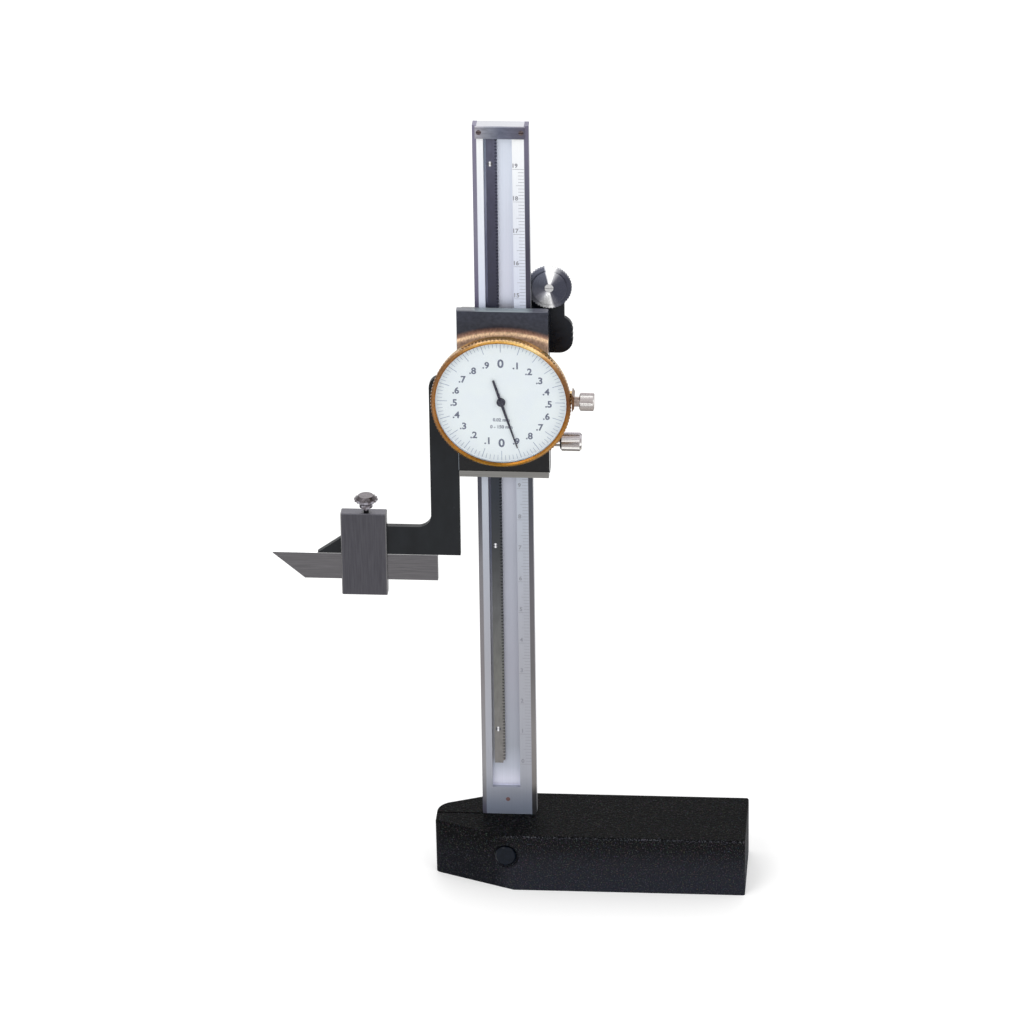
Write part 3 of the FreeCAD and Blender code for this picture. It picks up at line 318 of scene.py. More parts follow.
# Painted highlight along the plate's left edge
plate_edge_width = 0.12
plate_edge_highlight = (0.30, 0.33, 0.37)
plate_crown_depth = 0.22
slider_grain = (4.0, 4.0, 9.0)
slider_dark = (0.0070, 0.0082, 0.0100)
slider_light = (0.012, 0.014, 0.017)
slider_crown_depth = 0.05

# Gilt, turned wheel and nickel
gilt_grain = 0.7
gilt_tone_range = (0.70, 1.22)
wheel_grain = 0.25
# Reach of the painted highlight on the wheel's upper left
wheel_lift_height = (0.5, 5.0)
wheel_lift_side = (-1.0, 0.0)
polish_tones = (0.92, 1.04)
nickel_grain = 0.7
nickel_end_facing = (0.75, 0.95)
nickel_end_tone = (0.50, 0.46, 0.44)
# Upright clamp screw: light spots from a noise as painted glints on its head, painted shade on
# faces turned upwards, and painted shadow on its neck
knob_grain = (0.9, 0.9, 1.4)
knob_spots = (0.42, 0.62)
knob_dark = (0.12, 0.105, 0.115)
knob_light = (0.34, 0.33, 0.37)
knob_top_facing = (0.30, 0.60)
knob_top_dark = (0.075, 0.066, 0.070)
knob_top_light = (0.15, 0.135, 0.145)
knob_neck_height = 0.5
knob_neck_shadow = (0.045, 0.045, 0.05)

# Clamp box and scriber
box_grain = (0.35, 0.35, 7.0)
box_dark = (0.060, 0.058, 0.068)
box_light = (0.084, 0.082, 0.094)
# Painted highlight on the box's top face and along its left and right edges
box_top_highlight = 1.55
box_top_depth = 0.22
box_edge_width = 0.3
box_edge_share = 0.8
box_edge_highlight = (0.20, 0.195, 0.20)
scriber_grain = (8.0, 0.2, 0.25)
scriber_dark = (0.098, 0.094, 0.099)
scriber_light = (0.145, 0.140, 0.148)
# Painted reflection on the scriber's upper face
scriber_top_depth = 0.06
scriber_top_reflection = (0.86, 0.86, 0.87)

DEGREE = math.pi / 180


def grey(value):
    return (value, value, value)


def even(size):
    """The same grain along all three axes."""
    return (size, size, size)


def middle_of(node):
    """Middle of a node's box, in metres."""
    low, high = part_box(node)
    return [(low[axis] + high[axis]) / 2 for axis in (0, 1, 2)]


class Tree:
    """Short calls for a material's nodes. Places are given in millimetres."""

    def __init__(self, name):
        self.material = bpy.data.materials.new(name)
        self.material.use_nodes = True
        self.tree = self.material.node_tree
        self.shader = self.tree.nodes["Principled BSDF"]

    def add(self, kind, **settings):
        node = self.tree.nodes.new(kind)
        for key, value in settings.items():
            setattr(node, key, value)
        return node

    def link(self, source, target):
        self.tree.links.new(source, target)

    def feed(self, value, socket):
        """Link a socket, or set a plain number or colour."""
        if isinstance(value, bpy.types.NodeSocket):
            self.link(value, socket)
        elif isinstance(value, (tuple, list)) and len(socket.default_value) == 4:
            socket.default_value = (*value, 1.0)
        else:
            socket.default_value = value

    def number(self, operation, *values):
        node = self.add("ShaderNodeMath", operation=operation)
        for value, socket in zip(values, node.inputs):
            self.feed(value, socket)
        return node.outputs[0]

    def both(self, first, second):
        return self.number("MULTIPLY", first, second)

    def either(self, first, second):
        return self.number("MAXIMUM", first, second)

    def without(self, value):
        return self.number("SUBTRACT", 1.0, value)

    def size(self, value):
        return self.number("ABSOLUTE", value)

    def vector(self, operation, *values):
        node = self.add("ShaderNodeVectorMath", operation=operation)
        for value, socket in zip(values, node.inputs):
            self.feed(value, socket)
        return node.outputs["Value" if operation == "LENGTH" else "Vector"]

    def parts(self, value):
        node = self.add("ShaderNodeSeparateXYZ")
        self.link(value, node.inputs["Vector"])
        return node.outputs["X"], node.outputs["Y"], node.outputs["Z"]

    def here(self):
        """The point that is shaded, in the object's own frame."""
        return self.add("ShaderNodeTexCoord").outputs["Object"]

    def facing(self):
        """The way that the surface faces, in the room."""
        return self.parts(self.add("ShaderNodeNewGeometry").outputs["Normal"])

    def round_y(self, offset):
        """Distance from an axis along Y, for an offset from a point on that axis."""
        return self.vector("LENGTH", self.vector("MULTIPLY", offset, (1.0, 0.0, 1.0)))

    def clock_angle(self, offset):
        """Angle about Y from straight up, growing to the right."""
        across, _, up = self.parts(offset)
        return self.number("ARCTAN2", across, up)

    def coordinates(self, grain):
        """Object coordinates divided by a grain."""
        mapping = self.add("ShaderNodeMapping")
        mapping.inputs["Scale"].default_value = [1 / (MM * size) for size in grain]
        self.link(self.here(), mapping.inputs["Vector"])
        return mapping.outputs["Vector"]

    def noise_texture(self, grain, detail, roughness):
        texture = self.add("ShaderNodeTexNoise")
        texture.inputs["Scale"].default_value = 1.0
        texture.inputs["Detail"].default_value = detail
        texture.inputs["Roughness"].default_value = roughness
        self.link(self.coordinates(grain), texture.inputs["Vector"])
        return texture

    def noise(self, grain, detail=4.0):
        return self.noise_texture(grain, detail, roughness=0.55).outputs["Fac"]

    def spread(self, value, low, high, from_low=0.3, from_high=0.7):
        """A value taken from one range to another; a noise lies mostly in 0.3 to 0.7."""
        ranged = self.add("ShaderNodeMapRange")
        ranged.inputs["From Min"].default_value = from_low
        ranged.inputs["From Max"].default_value = from_high
        ranged.inputs["To Min"].default_value = low
        ranged.inputs["To Max"].default_value = high
        self.link(value, ranged.inputs["Value"])
        return ranged.outputs["Result"]

    def beyond(self, value, place, soft=0.04):
        """0 before a place and 1 after it."""
        return self.spread(value, 0.0, 1.0, (place - soft) * MM, (place + soft) * MM)

    def before(self, value, place, soft=0.04):
        """1 before a place and 0 after it."""
        return self.without(self.beyond(value, place, soft))

    def rise(self, value, start, end):
        """0 at the start and 1 at the end."""
        return self.spread(value, 0.0, 1.0, start * MM, end * MM)

    def fall(self, value, start, end):
        """1 at the start and 0 at the end."""
        return self.spread(value, 1.0, 0.0, start * MM, end * MM)

    def mix(self, factor, first, second, kind="MIX"):
        mixed = self.add("ShaderNodeMix", data_type="RGBA", blend_type=kind)
        self.feed(factor, mixed.inputs[0])
        self.feed(first, mixed.inputs[6])
        self.feed(second, mixed.inputs[7])
        return mixed.outputs[2]

    def times(self, first, second, factor=1.0):
        return self.mix(factor, first, second, "MULTIPLY")

    def between(self, noise, dark, light):
        """A colour that follows a noise from dark to light."""
        return self.mix(self.spread(noise, 0, 1), dark, light)

    def vary(self, colour, noise, tones):
        """A colour made darker and lighter by a noise."""
        return self.times(colour, self.between(noise, grey(tones[0]), grey(tones[1])))

    def bands(self, value, stops, unit=MM):
        """Colours at places along a value, blended between them."""
        low, high = stops[0][0], stops[-1][0]
        node = self.add("ShaderNodeValToRGB")
        elements = node.color_ramp.elements
        for index, (place, colour) in enumerate(stops):
            at = (place - low) / (high - low)
            if index == 0:
                element = elements[0]
            elif index == len(stops) - 1:
                element = elements[len(elements) - 1]
            else:
                element = elements.new(at)
            element.position = at
            element.color = (*colour, 1.0)
        self.link(self.spread(value, 0.0, 1.0, low * unit, high * unit), node.inputs["Fac"])
        return node.outputs["Color"]

    def bump(self, height, depth, strength=1.0):
        node = self.add("ShaderNodeBump")
        node.inputs["Strength"].default_value = strength
        node.inputs["Distance"].default_value = depth * MM
        self.link(height, node.inputs["Height"])
        self.link(node.outputs["Normal"], self.shader.inputs["Normal"])

    def fixed(self, **values):
        """Set sockets of the shader, named as in ior or base_color."""
        for key, value in values.items():
            socket = key.replace("_", " ").title().replace("Ior", "IOR")
            self.shader.inputs[socket].default_value = value

    def finish(self, colour, noise, roughness, metallic=0.0, bump_depth=0.0, **fixed):
        """Give the shader its colour, a roughness that varies with a noise, and its metal."""
        self.feed(colour, self.shader.inputs["Base Color"])
        self.link(self.spread(noise, *roughness), self.shader.inputs["Roughness"])
        self.shader.inputs["Metallic"].default_value = metallic
        if bump_depth:
            self.bump(noise, bump_depth)
        self.fixed(**fixed)
        return self.material


def surface(name, dark, light, grain, roughness, metallic=0.0, bump_depth=0.0, **fixed):
    """A material whose colour and roughness vary with a noise of the given grain."""
    tree = Tree(name)
    noise = tree.noise(grain)
    colour = tree.between(noise, dark, light)
    return tree.finish(colour, noise, roughness, metallic, bump_depth, **fixed)


def crinkle_paint():
    """Black crinkle paint, lighter low on the front as painted light, with painted shade on the
    top and about the nose, and a painted highlight along its top front edge.
    """
    tree = Tree("crinkle_paint")
    x, y, z = tree.parts(tree.here())
    cells = tree.add("ShaderNodeTexVoronoi", feature="SMOOTH_F1")
    cells.inputs["Scale"].default_value = 1.0
    cells.inputs["Smoothness"].default_value = crinkle_smoothness
    tree.link(tree.coordinates(even(crinkle_cell)), cells.inputs["Vector"])
    fine = tree.noise(even(crinkle_fine), detail=3.0)
    tint = tree.noise_texture(even(fleck_grain), detail=1.0, roughness=0.5).outputs["Color"]

    # Painted shade on the top face and about the nose
    top = tree.beyond(z, base_top - shaded_top_depth, soft=0.2)
    nose = tree.fall(x, *shaded_nose_end)
    painted_shade = tree.either(tree.both(top, shaded_top_share), tree.both(nose, shaded_nose_share))
    colour = tree.times(tree.bands(z, base_front), grey(0.0), painted_shade)

    flecks = tree.both(tree.spread(fine, 0.0, fleck_share, *fleck_noise),
                       tree.spread(painted_shade, 1.0, fleck_share_shaded, 0.0, shaded_top_share))
    tinted = tree.times(tree.mix(fleck_tint_share, fleck_plain, tint), grey(fleck_level))
    colour = tree.mix(flecks, colour, tinted)

    # Painted highlight along the top front edge, broken into flecks by a noise
    rim = tree.both(tree.beyond(z, base_top - edge_highlight_depth, soft=0.1), tree.fall(y, *edge_highlight_front))
    edge_highlight = tree.both(rim, tree.spread(fine, 0.0, edge_highlight_share, *edge_highlight_noise))
    edge_highlight = tree.both(edge_highlight, tree.beyond(x, edge_highlight_left, soft=1.0))
    colour = tree.mix(edge_highlight, colour, edge_highlight_colour)

    height = tree.number("ADD", cells.outputs["Distance"], fine)
    tree.bump(height, crinkle_depth, crinkle_strength)
    return tree.finish(colour, fine, crinkle_roughness, specular_ior_level=crinkle_specular)


def ground_column():
    """Ground steel drawn along Z, with painted reflections and painted shade by height on its
    lands, recess floor, groove and bevels, and painted shade on its top face.
    """
    tree = Tree("ground_column")
    x, y, z = tree.parts(tree.here())
    deep = tree.beyond(y, recess_floor, soft=0.15)
    colour = tree.mix(deep, tree.bands(z, column_land), tree.bands(z, column_floor))
    # Painted shade in the groove beside the rack
    groove = tree.both(deep, tree.fall(x, *groove_right))
    groove = tree.both(groove, tree.beyond(z, groove_foot, soft=0.5))
    colour = tree.times(colour, tree.bands(z, column_groove), groove)
    # Painted shade on the column's top face
    crown = tree.beyond(z, column_head - column_crown_depth, soft=0.02)
    colour = tree.mix(crown, colour, column_crown)

    # Painted reflections on the bevels
    front = tree.before(y, bevel_depth)
    bevel = tree.mix(tree.fall(x, -1.0, 1.0), tree.bands(z, right_bevel),
                     tree.bands(z, left_bevel))
    shown = tree.both(tree.beyond(tree.size(x), bevel_start), tree.either(front, crown))
    colour = tree.mix(shown, colour, bevel)
    flank = tree.both(tree.beyond(tree.size(x), column_flank), tree.without(front))
    plain_side = tree.either(flank, tree.beyond(y, column_rear, soft=0.2))
    plain_side = tree.both(plain_side, tree.without(crown))
    colour = tree.mix(plain_side, colour, column_plain)

    lines = tree.noise(line_grain, detail=5.0)
    colour = tree.vary(colour, lines, line_tones)
    colour = tree.vary(colour, tree.noise(cloud_grain, detail=3.0), cloud_tones)
    return tree.finish(colour, lines, column_roughness, column_metal, bump_depth=0.003)


def stop_plate():
    """Stop plate at the column's top, lighter towards its left end."""
    tree = Tree("dark_stop")
    x = tree.parts(tree.here())[0]
    noise = tree.noise(stop_grain)
    colour = tree.vary(tree.bands(x, stop_tones), noise, stop_mottle)
    return tree.finish(colour, noise, (0.30, 0.42), metallic=1.0, bump_depth=0.002)


def rack_steel():
    """Dark rack with painted shade and painted reflection of the head: darkest along the head,
    lighter towards its foot.
    """
    tree = Tree("rack_steel")
    z = tree.parts(tree.here())[2]
    noise = tree.noise(rack_grain, detail=5.0)
    colour = tree.vary(tree.bands(z, rack_tones), noise, rack_mottle)
    return tree.finish(colour, noise, (0.40, 0.55), metallic=0.3)


def mirror_plate():
    """Polished black plate with a painted reflection lighter towards the top, a painted highlight
    along its left edge, a painted reflection of the column on its top face, and a warm painted
    reflection of the bezel above the dial.
    """
    tree = Tree("polished_black")
    point = tree.here()
    x, _, z = tree.parts(point)
    low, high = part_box("head_plate")
    noise = tree.noise(plate_grain)
    # Painted reflection, lighter towards the top
    colour = tree.vary(tree.bands(z, plate_tones), noise, plate_tone_range)
    colour = tree.vary(colour, tree.noise(mottle_grain, detail=2.0), mottle_tones)

    # Painted reflection of the bezel: a warm arc about the dial's upper edge, dotted by a noise
    offset = tree.vector("SUBTRACT", point, (bezel_reflection_x * MM, 0.0, bezel_reflection_z * MM))
    reach = tree.round_y(offset)
    bezel_reflection = tree.vary(tree.bands(reach, plate_bezel_reflection), tree.noise(dot_grain, detail=2.0), dot_tones)
    inside = tree.fall(reach, bezel_reflection_edge, bezel_reflection_edge + bezel_reflection_fade)
    colour = tree.mix(tree.both(inside, tree.beyond(z, bezel_reflection_bottom, soft=1.0)), colour, bezel_reflection)

    # Painted highlight along the left edge
    edge = tree.before(x, low[0] / MM + plate_edge_width, soft=0.05)
    colour = tree.mix(edge, colour, plate_edge_highlight)
    # Painted reflection of the column on the top face
    crown = tree.beyond(z, high[2] / MM - plate_crown_depth, soft=0.06)
    colour = tree.mix(crown, colour, tree.bands(x, plate_top_reflection))
    return tree.finish(colour, noise, (0.10, 0.16), specular_ior_level=0.2)


def black_body():
    """Blackened steel of the slider, with painted light on its top face: a painted highlight at
    the left and painted shade at the right.
    """
    tree = Tree("blackened_steel")
    x, _, z = tree.parts(tree.here())
    noise = tree.noise(slider_grain)
    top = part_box("slider")[1][2] / MM
    colour = tree.between(noise, slider_dark, slider_light)
    # Painted highlight and painted shade on the top face
    crown = tree.beyond(z, top - slider_crown_depth, soft=0.03)
    colour = tree.mix(crown, colour, tree.bands(x, slider_top_light_and_shade))
    return tree.finish(colour, noise, (0.30, 0.42), bump_depth=0.002, specular_ior_level=0.18)


def gilt(name):
    """Gilt metal about the dial, with painted highlights and painted shade by angle: pale gold
    above, golden below and brown at the sides.
    """
    tree = Tree(name)
    point = tree.here()
    x, y, _ = tree.parts(point)
    offset = tree.vector("SUBTRACT", point, middle_of("bezel_ring"))
    reach = tree.round_y(offset)
    angle = tree.clock_angle(offset)
    # Painted highlights and painted shade by the angle about the dial
    colour = tree.mix(tree.beyond(reach, gilt_rim, soft=0.16),
                      tree.bands(angle, gilt_face, DEGREE), tree.bands(angle, gilt_side, DEGREE))
    # Painted shade on the inner slope
    colour = tree.times(colour, gilt_slope_shade, tree.before(reach, gilt_slope, soft=0.05))
    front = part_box("bezel_ring")[0][1] / MM
    # Painted highlight behind the flange
    colour = tree.mix(tree.beyond(y, front + gilt_flange, soft=0.1), colour, gilt_behind_highlight)
    colour = tree.mix(tree.beyond(x, lug_start, soft=0.03), colour, gilt_lug)
    colour = tree.mix(tree.beyond(x, lug_boss, soft=0.03), colour, gilt_boss)
    noise = tree.noise(even(gilt_grain), detail=3.0)
    colour = tree.vary(colour, noise, gilt_tone_range)
    return tree.finish(colour, noise, (0.16, 0.26), metallic=0.75, bump_depth=0.001)


def turned_wheel():
    """Polished steel turned about Y, with painted highlights and painted shade in sectors and a
    painted highlight on its upper left.
    """
    tree = Tree("turned_wheel")
    noise = tree.noise(even(wheel_grain))
    offset = tree.vector("SUBTRACT", tree.here(), middle_of("thumb_wheel"))
    across, _, up = tree.parts(offset)
    colour = tree.bands(tree.clock_angle(offset), wheel_highlight_sectors, DEGREE)
    # Painted highlight on the upper left
    upper_left = tree.both(tree.rise(up, *wheel_lift_height),
                           tree.fall(across, *wheel_lift_side))
    colour = tree.times(colour, grey(wheel_highlight_lift), upper_left)
    colour = tree.vary(colour, noise, polish_tones)
    tangent = tree.add("ShaderNodeTangent", direction_type="RADIAL", axis="Y")
    tree.link(tangent.outputs["Tangent"], tree.shader.inputs["Tangent"])
    return tree.finish(colour, noise, (0.20, 0.30), metallic=0.5, anisotropic=0.5)


def round_nickel(name, stops):
    """Nickel on a screw that lies along X, with painted highlights and painted shade in bands by
    the way that its surface faces.
    """
    tree = Tree(name)
    noise = tree.noise(even(nickel_grain))
    across, depth, up = tree.facing()
    angle = tree.number("ARCTAN2", up, tree.both(depth, -1.0))
    colour = tree.bands(angle, stops, DEGREE)
    end = tree.spread(tree.size(across), 0.0, 1.0, *nickel_end_facing)
    colour = tree.mix(end, colour, nickel_end_tone)
    colour = tree.vary(colour, noise, polish_tones)
    return tree.finish(colour, noise, (0.20, 0.30), metallic=1.0)


def clamp_nickel():
    """Nickel on the upright clamp screw: painted shade on top, painted glints as light spots round
    its head, and painted shadow on its neck.
    """
    tree = Tree("clamp_nickel")
    z = tree.parts(tree.here())[2]
    noise = tree.noise(knob_grain, detail=3.0)
    colour = tree.mix(tree.spread(noise, 0, 1, *knob_spots), knob_dark, knob_light)
    # Painted shade on faces turned upwards
    top = tree.spread(tree.facing()[2], 0.0, 1.0, *knob_top_facing)
    colour = tree.mix(top, colour, tree.between(noise, knob_top_dark, knob_top_light))
    # Painted shadow on the neck below the head
    head = tree.beyond(z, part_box("clamp_box")[1][2] / MM + knob_neck_height, soft=0.05)
    colour = tree.mix(head, knob_neck_shadow, colour)
    return tree.finish(colour, noise, (0.20, 0.32), metallic=1.0)


def milled_grey():
    """Milled grey box, with a painted highlight on top and along its edges."""
    tree = Tree("milled_grey")
    x, _, z = tree.parts(tree.here())
    noise = tree.noise(box_grain)
    low, high = [[value / MM for value in corner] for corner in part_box("clamp_box")]
    colour = tree.between(noise, box_dark, box_light)
    # Painted highlight on the top face and along the edges
    top = tree.beyond(z, high[2] - box_top_depth, soft=0.05)
    colour = tree.times(colour, grey(box_top_highlight), top)
    edges = tree.either(tree.beyond(x, high[0] - box_edge_width, soft=0.06),
                        tree.before(x, low[0] + box_edge_width, soft=0.06))
    colour = tree.mix(tree.both(edges, box_edge_share), colour, box_edge_highlight)
    return tree.finish(colour, noise, (0.34, 0.48), metallic=0.9, bump_depth=0.004)


def ground_scriber():
    """Ground scriber with a painted reflection on its upper face."""
    tree = Tree("ground_scriber")
    z = tree.parts(tree.here())[2]
    noise = tree.noise(scriber_grain)
    colour = tree.between(noise, scriber_dark, scriber_light)
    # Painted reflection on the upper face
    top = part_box("scriber")[1][2] / MM
    colour = tree.mix(tree.beyond(z, top - scriber_top_depth, soft=0.03), colour, scriber_top_reflection)
    return tree.finish(colour, noise, (0.26, 0.40), metallic=1.0, bump_depth=0.003)


def rack_screw_steel():
    """Small screws in the rack: dark heads with a light slot."""
    tree = Tree("rack_screw_steel")
    x = tree.parts(tree.here())[0]
    off = tree.size(tree.number("ADD", x, rack_screw_line * MM))
    colour = tree.mix(tree.beyond(off, rack_slot_half_width, soft=0.1), rack_slot_tone,
                      rack_head_tone)
    return tree.finish(colour, tree.noise(even(0.3)), (0.3, 0.4), metallic=0.8)


def clear_crystal():
    """Crystal that hides almost nothing behind it."""
    tree = Tree("clear_crystal")
    noise = tree.noise(even(6.0), detail=2.0)
    tree.link(tree.spread(noise, 0.02, 0.05), tree.shader.inputs["Roughness"])
    tree.fixed(base_color=(0.02, 0.03, 0.04, 1.0), alpha=0.05, ior=1.49)
    tree.material.surface_render_method = "BLENDED"
    return tree.material


def ink_surface(name, tone, lift, metallic=0.0):
    return surface(name, tone, [value * lift for value in tone], even(0.5), (0.5, 0.7), metallic)


def make_materials():
    return {
        "crinkle": crinkle_paint(),
        "column": ground_column(),
        "rack": rack_steel(),
        "rack_screw": rack_screw_steel(),
        "pin": surface("pin_face", (0.13, 0.065, 0.065), (0.22, 0.12, 0.115), even(0.3),
                       (0.4, 0.6), metallic=0.3),
        "black_plate": mirror_plate(),
        "black_body": black_body(),
        "black_rest": surface("black_rest", (0.003, 0.004, 0.007), (0.007, 0.009, 0.015),
                              even(1.5), (0.25, 0.38), bump_depth=0.004,
                              specular_ior_level=0.2),
        "plug": surface("plug_face", (0.002, 0.004, 0.008), (0.005, 0.008, 0.015), even(1.0),
                        (0.14, 0.24), specular_ior_level=0.14),
        "strip": surface("bare_strip", (0.17, 0.165, 0.158), (0.24, 0.235, 0.225),
                         (30.0, 0.2, 0.15), (0.35, 0.48), metallic=1.0, bump_depth=0.003),
        "dark_stop": stop_plate(),
        "stop_screw": surface("dark_screw", (0.07, 0.05, 0.055), (0.16, 0.13, 0.13), even(0.4),
                              (0.3, 0.4), metallic=0.9),
        "screw": surface("turned_screw", (0.42, 0.42, 0.43), (0.60, 0.60, 0.60), even(0.4),
                         (0.22, 0.36), metallic=1.0),
        "brass": surface("sawn_brass", (0.62, 0.42, 0.15), (0.74, 0.54, 0.22), even(0.6),
                         (0.22, 0.36), metallic=1.0, bump_depth=0.002),
        "gold": gilt("polished_gold"),
        "spring": surface("spring_steel", (0.36, 0.37, 0.40), (0.48, 0.49, 0.52), even(0.5),
                          (0.20, 0.32), metallic=1.0),
        "dial": surface("dial_white", (0.88, 0.95, 1.0), (0.91, 0.98, 1.0), even(5.0),
                        (0.45, 0.55)),
        "ring": surface("ring_grey", (0.60, 0.62, 0.66), (0.70, 0.72, 0.76), even(2.0),
                        (0.35, 0.45), metallic=0.6),
        "crystal": clear_crystal(),
        "needle": surface("needle_black", (0.018, 0.017, 0.034), (0.034, 0.032, 0.055),
                          even(0.8), (0.30, 0.45)),
        "wheel": turned_wheel(),
        "nickel": round_nickel("lock_nickel", slide_lock_bands),
        "bezel_nickel": round_nickel("bezel_lock_nickel", bezel_lock_bands),
        "clamp_nickel": clamp_nickel(),
        "clamp": milled_grey(),
        "scriber": ground_scriber(),
        "ink": ink_surface("printed_ink", ink, 1.5),
        "tick_ink": ink_surface("tick_ink", tick_ink, 1.2),
        "scale_ink": ink_surface("etched_line", scale_ink, 1.4, metallic=0.4),
    }


LOOKS = {
    "base_casting": "crinkle", "column": "column", "column_pin": "pin", "pinch_screw": "screw",
    "pinch_screw_plug": "plug", "rack": "rack", "rack_screws": "rack_screw",
    "end_stop": "dark_stop", "end_stop_screws": "stop_screw", "slider": "black_body",
    "gib_strip": "brass", "head_plate": "black_plate", "head_plate_screws": "screw",
    "reading_strip": "strip", "reading_strip_screws": "screw", "dial_case": "gold",
    "dial_case_screws": "screw", "bezel_snap_ring": "spring", "gear_bridge": "brass",
    "bridge_pillars": "brass", "bridge_screws": "screw", "pinion_bush": "brass",
    "wheel_bracket": "black_rest", "wheel_bracket_screws": "screw", "thumb_wheel_axle": "screw",
    "bezel_ring": "gold", "crystal": "crystal", "crystal_spacer": "ring", "dial_face": "dial",
    "dial_keeper": "ring", "rack_pinion_arbor": "spring", "gear_hub": "brass",
    "drive_gear": "brass", "take_up_gear": "brass", "take_up_spring": "spring",
    "needle_arbor": "needle", "needle_collet": "needle", "needle": "needle",
    "thumb_wheel": "wheel", "slide_lock_screw": "nickel", "bezel_lock_screw": "bezel_nickel",
    "clamp_box": "clamp", "clamp_screw": "clamp_nickel", "scriber": "scriber",
}


def dress(node, material):
    mesh = node.data
    if not mesh.materials:
        mesh.materials.append(material)
    for index in range(len(mesh.materials)):
        mesh.materials[index] = material


def new_object(name, data):
    result = bpy.data.objects.new(name, data)
    bpy.context.scene.collection.objects.link(result)
    return result


class Marks:
    """Flat marks facing the dial's reader, gathered into one mesh."""

    def __init__(self, surface_y):
        self.y = surface_y - mark_lift * MM
        self.points = []
        self.faces = []

    def polygon(self, corners):
        first = len(self.points)
        self.points += [(x * MM, self.y, z * MM) for x, z in corners]
        self.faces.append(tuple(range(first, first + len(corners))))

    def bar(self, start, end, width):
        along = Vector((end[0] - start[0], end[1] - start[1])).normalized()
        side = Vector((-along.y, along.x)) * (width / 2)
        self.polygon([(start[0] - side.x, start[1] - side.y), (end[0] - side.x, end[1] - side.y),
                      (end[0] + side.x, end[1] + side.y), (start[0] + side.x, start[1] + side.y)])

    def text(self, words, x, z, height):
        points, faces = text_shape(words)
        for face in faces:
            self.polygon([(x + points[index][0] * height, z + points[index][1] * height)
                          for index in face])

    def piece(self, name, material, body):
        mesh = bpy.data.meshes.new(name)
        mesh.from_pydata(self.points, [], self.faces)
        mesh.materials.append(material)
        result = new_object(name, mesh)
        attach(result, body)


shapes = {}


def text_shape(words):
    """Outline faces of a few signs, one unit high and centred on their own middle."""
    if words not in shapes:
        curve = bpy.data.curves.new("numeral", "FONT")
        curve.body = words
        curve.resolution_u = 3
        curve.offset = numeral_weight
        holder = new_object("numeral", curve)
        bpy.context.view_layer.update()
        mesh = holder.to_mesh()
        points = [(vertex.co.x, vertex.co.y) for vertex in mesh.vertices]
        faces = [tuple(polygon.vertices) for polygon in mesh.polygons]
        holder.to_mesh_clear()
        bpy.data.objects.remove(holder)
        bpy.data.curves.remove(curve)
        low = [min(point[axis] for point in points) for axis in (0, 1)]
        high = [max(point[axis] for point in points) for axis in (0, 1)]
        middle = [(low[axis] + high[axis]) / 2 for axis in (0, 1)]
        tall = high[1] - low[1]
        shapes[words] = ([((x - middle[0]) / tall, (y - middle[1]) / tall) for x, y in points],
                         faces)
    return shapes[words]


def dial_markings(materials):
    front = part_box("dial_face")[0][1]
    x, _, z = [value / MM for value in middle_of("dial_face")]
    ticks = Marks(front)
    numerals = Marks(front)
    for index in range(divisions):
        turn = 2 * math.pi * index / divisions
        across, up = math.sin(turn), math.cos(turn)
        numbered = index % divisions_per_numeral == 0
        length, width = tick_length, tick_width
        if numbered:
            length, width = long_tick_length, long_tick_width
        inner = tick_outer_radius - length
        ticks.bar((x + inner * across, z + inner * up),
                  (x + tick_outer_radius * across, z + tick_outer_radius * up), width)
        if numbered:
            digit = index // divisions_per_numeral % 10
            place = (x + numeral_radius_x * across, z - numeral_drop + numeral_radius_z * up)
            if digit == 0:
                numerals.text("0", *place, zero_height)
            else:
                numerals.text("." + str(digit), *place, numeral_height)
    for drop, note in dial_notes:
        numerals.text(note, x, z - numeral_drop + drop, note_height)
    ticks.piece("dial_ticks", materials["tick_ink"], "bezel")
    numerals.piece("dial_numerals", materials["ink"], "bezel")


def long_needle(node, material):
    """The needle, drawn out to the length and width that the photograph shows."""
    centre = Vector(middle_of("dial_face"))
    centre.y = 0.0
    mesh = node.data.copy()
    mesh.name = "long_needle"
    flat = [Vector((vertex.co.x, 0.0, vertex.co.z)) - centre for vertex in mesh.vertices]
    along = max(flat, key=lambda point: point.length).normalized()
    hub = needle_hub * MM
    for vertex, point in zip(mesh.vertices, flat):
        reach = point.dot(along)
        if abs(reach) > hub:
            aside = point - along * reach
            if reach > 0:
                stretch, widen = tip_stretch, tip_widen
            else:
                stretch, widen = tail_stretch, tail_widen
            moved = math.copysign(hub + (abs(reach) - hub) * stretch, reach)
            place = centre + along * moved + aside * widen
            vertex.co.x, vertex.co.z = place.x, place.z
    result = new_object("long_needle", mesh)
    dress(result, material)
    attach(result, "pointer")
    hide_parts("needle")


def column_scale(materials):
    """Millimetre lines with a numeral at each centimetre."""
    low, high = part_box("column")
    marks = Marks(low[1])
    for index in range(scale_length + 1):
        z = scale_zero + index
        if z > high[2] / MM - scale_end_margin:
            break
        length = scale_short
        if index % 5 == 0:
            length = scale_middle
        if index % 10 == 0:
            length = scale_long
            marks.text(str(index // 10), scale_numeral_x, z + scale_numeral_lift,
                       scale_numeral_height)
        marks.bar((scale_right - length, z), (scale_right, z), scale_width)
    marks.piece("column_scale", materials["scale_ink"], "base")


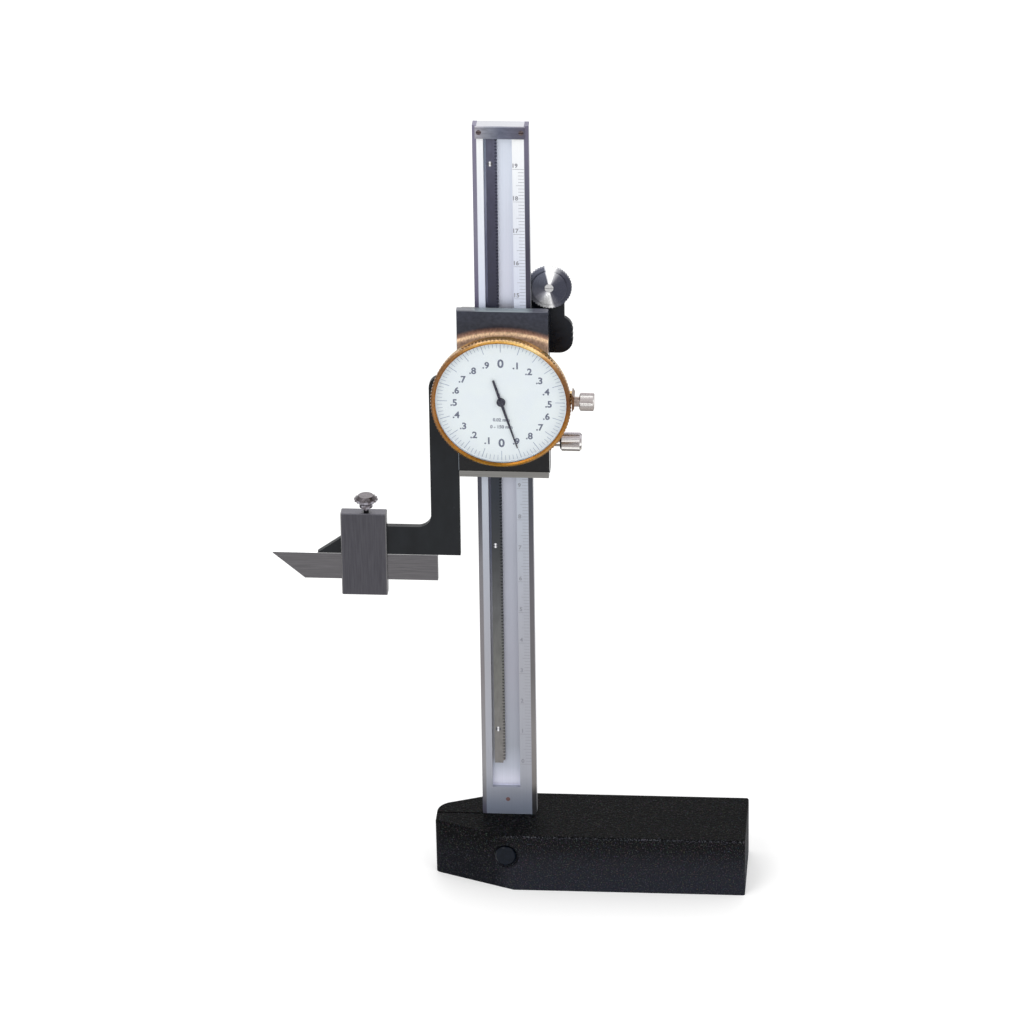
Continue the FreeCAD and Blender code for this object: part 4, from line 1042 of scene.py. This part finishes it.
def floor():
    """Pale floor that shows white to the camera and keeps the shadow."""
    half = floor_half_width * MM
    mesh = bpy.data.meshes.new("floor")
    mesh.from_pydata([(-half, -half, 0), (half, -half, 0), (half, half, 0), (-half, half, 0)],
                     [], [(0, 1, 2, 3)])
    tree = Tree("plain_floor")
    tree.fixed(base_color=(*floor_colour, 1.0), roughness=0.9, specular_ior_level=0.0,
               emission_color=(1.0, 1.0, 1.0, 1.0))
    rays = tree.add("ShaderNodeLightPath").outputs
    seen = tree.either(rays["Is Camera Ray"], rays["Is Glossy Ray"])
    seen = tree.either(seen, rays["Is Transmission Ray"])
    tree.link(tree.both(seen, floor_glow), tree.shader.inputs["Emission Strength"])
    mesh.materials.append(tree.material)
    new_object("floor", mesh)


def area_light(name, place, size, power):
    light = bpy.data.lights.new(name, "AREA")
    light.shape = "SQUARE"
    light.size = size * MM
    light.energy = power
    holder = new_object(name, light)
    holder.location = [value * MM for value in place]
    aim = Vector(light_target) * MM - holder.location
    holder.rotation_euler = aim.to_track_quat("-Z", "Y").to_euler()


def lights():
    world = bpy.data.worlds.new("studio")
    bpy.context.scene.world = world
    world.use_nodes = True
    background = world.node_tree.nodes["Background"]
    background.inputs["Color"].default_value = (*world_colour, 1.0)
    background.inputs["Strength"].default_value = world_strength
    area_light("key", key_place, key_size, key_power)
    area_light("fill", fill_place, fill_size, fill_power)
    area_light("back", back_place, back_size, back_power)


def camera():
    pitch = math.radians(camera_pitch_deg)
    yaw = math.radians(camera_yaw_deg)
    roll = math.radians(camera_roll_deg)
    forward = Vector((math.sin(yaw) * math.cos(pitch), math.cos(yaw) * math.cos(pitch),
                      -math.sin(pitch)))
    level_right = Vector((math.cos(yaw), -math.sin(yaw), 0.0))
    level_up = level_right.cross(forward)
    right = level_right * math.cos(roll) + level_up * math.sin(roll)
    up = level_up * math.cos(roll) - level_right * math.sin(roll)
    lens = bpy.data.cameras.new("camera")
    lens.sensor_width = sensor_width
    lens.lens = camera_focal_pixels * sensor_width / picture_pixels
    lens.clip_end = camera_far * MM
    holder = new_object("camera", lens)
    turn = Matrix((right, up, -forward)).transposed()
    holder.matrix_world = Matrix.Translation(Vector(camera_place) * MM) @ turn.to_4x4()
    bpy.context.scene.camera = holder


def main():
    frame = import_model()
    materials = make_materials()
    for name, node in frame["nodes"].items():
        dress(node, materials[LOOKS[name]])
    long_needle(frame["nodes"]["needle"], materials["needle"])
    dial_markings(materials)
    column_scale(materials)
    floor()
    lights()
    camera()
    bpy.context.scene.view_settings.view_transform = "Standard"


main()
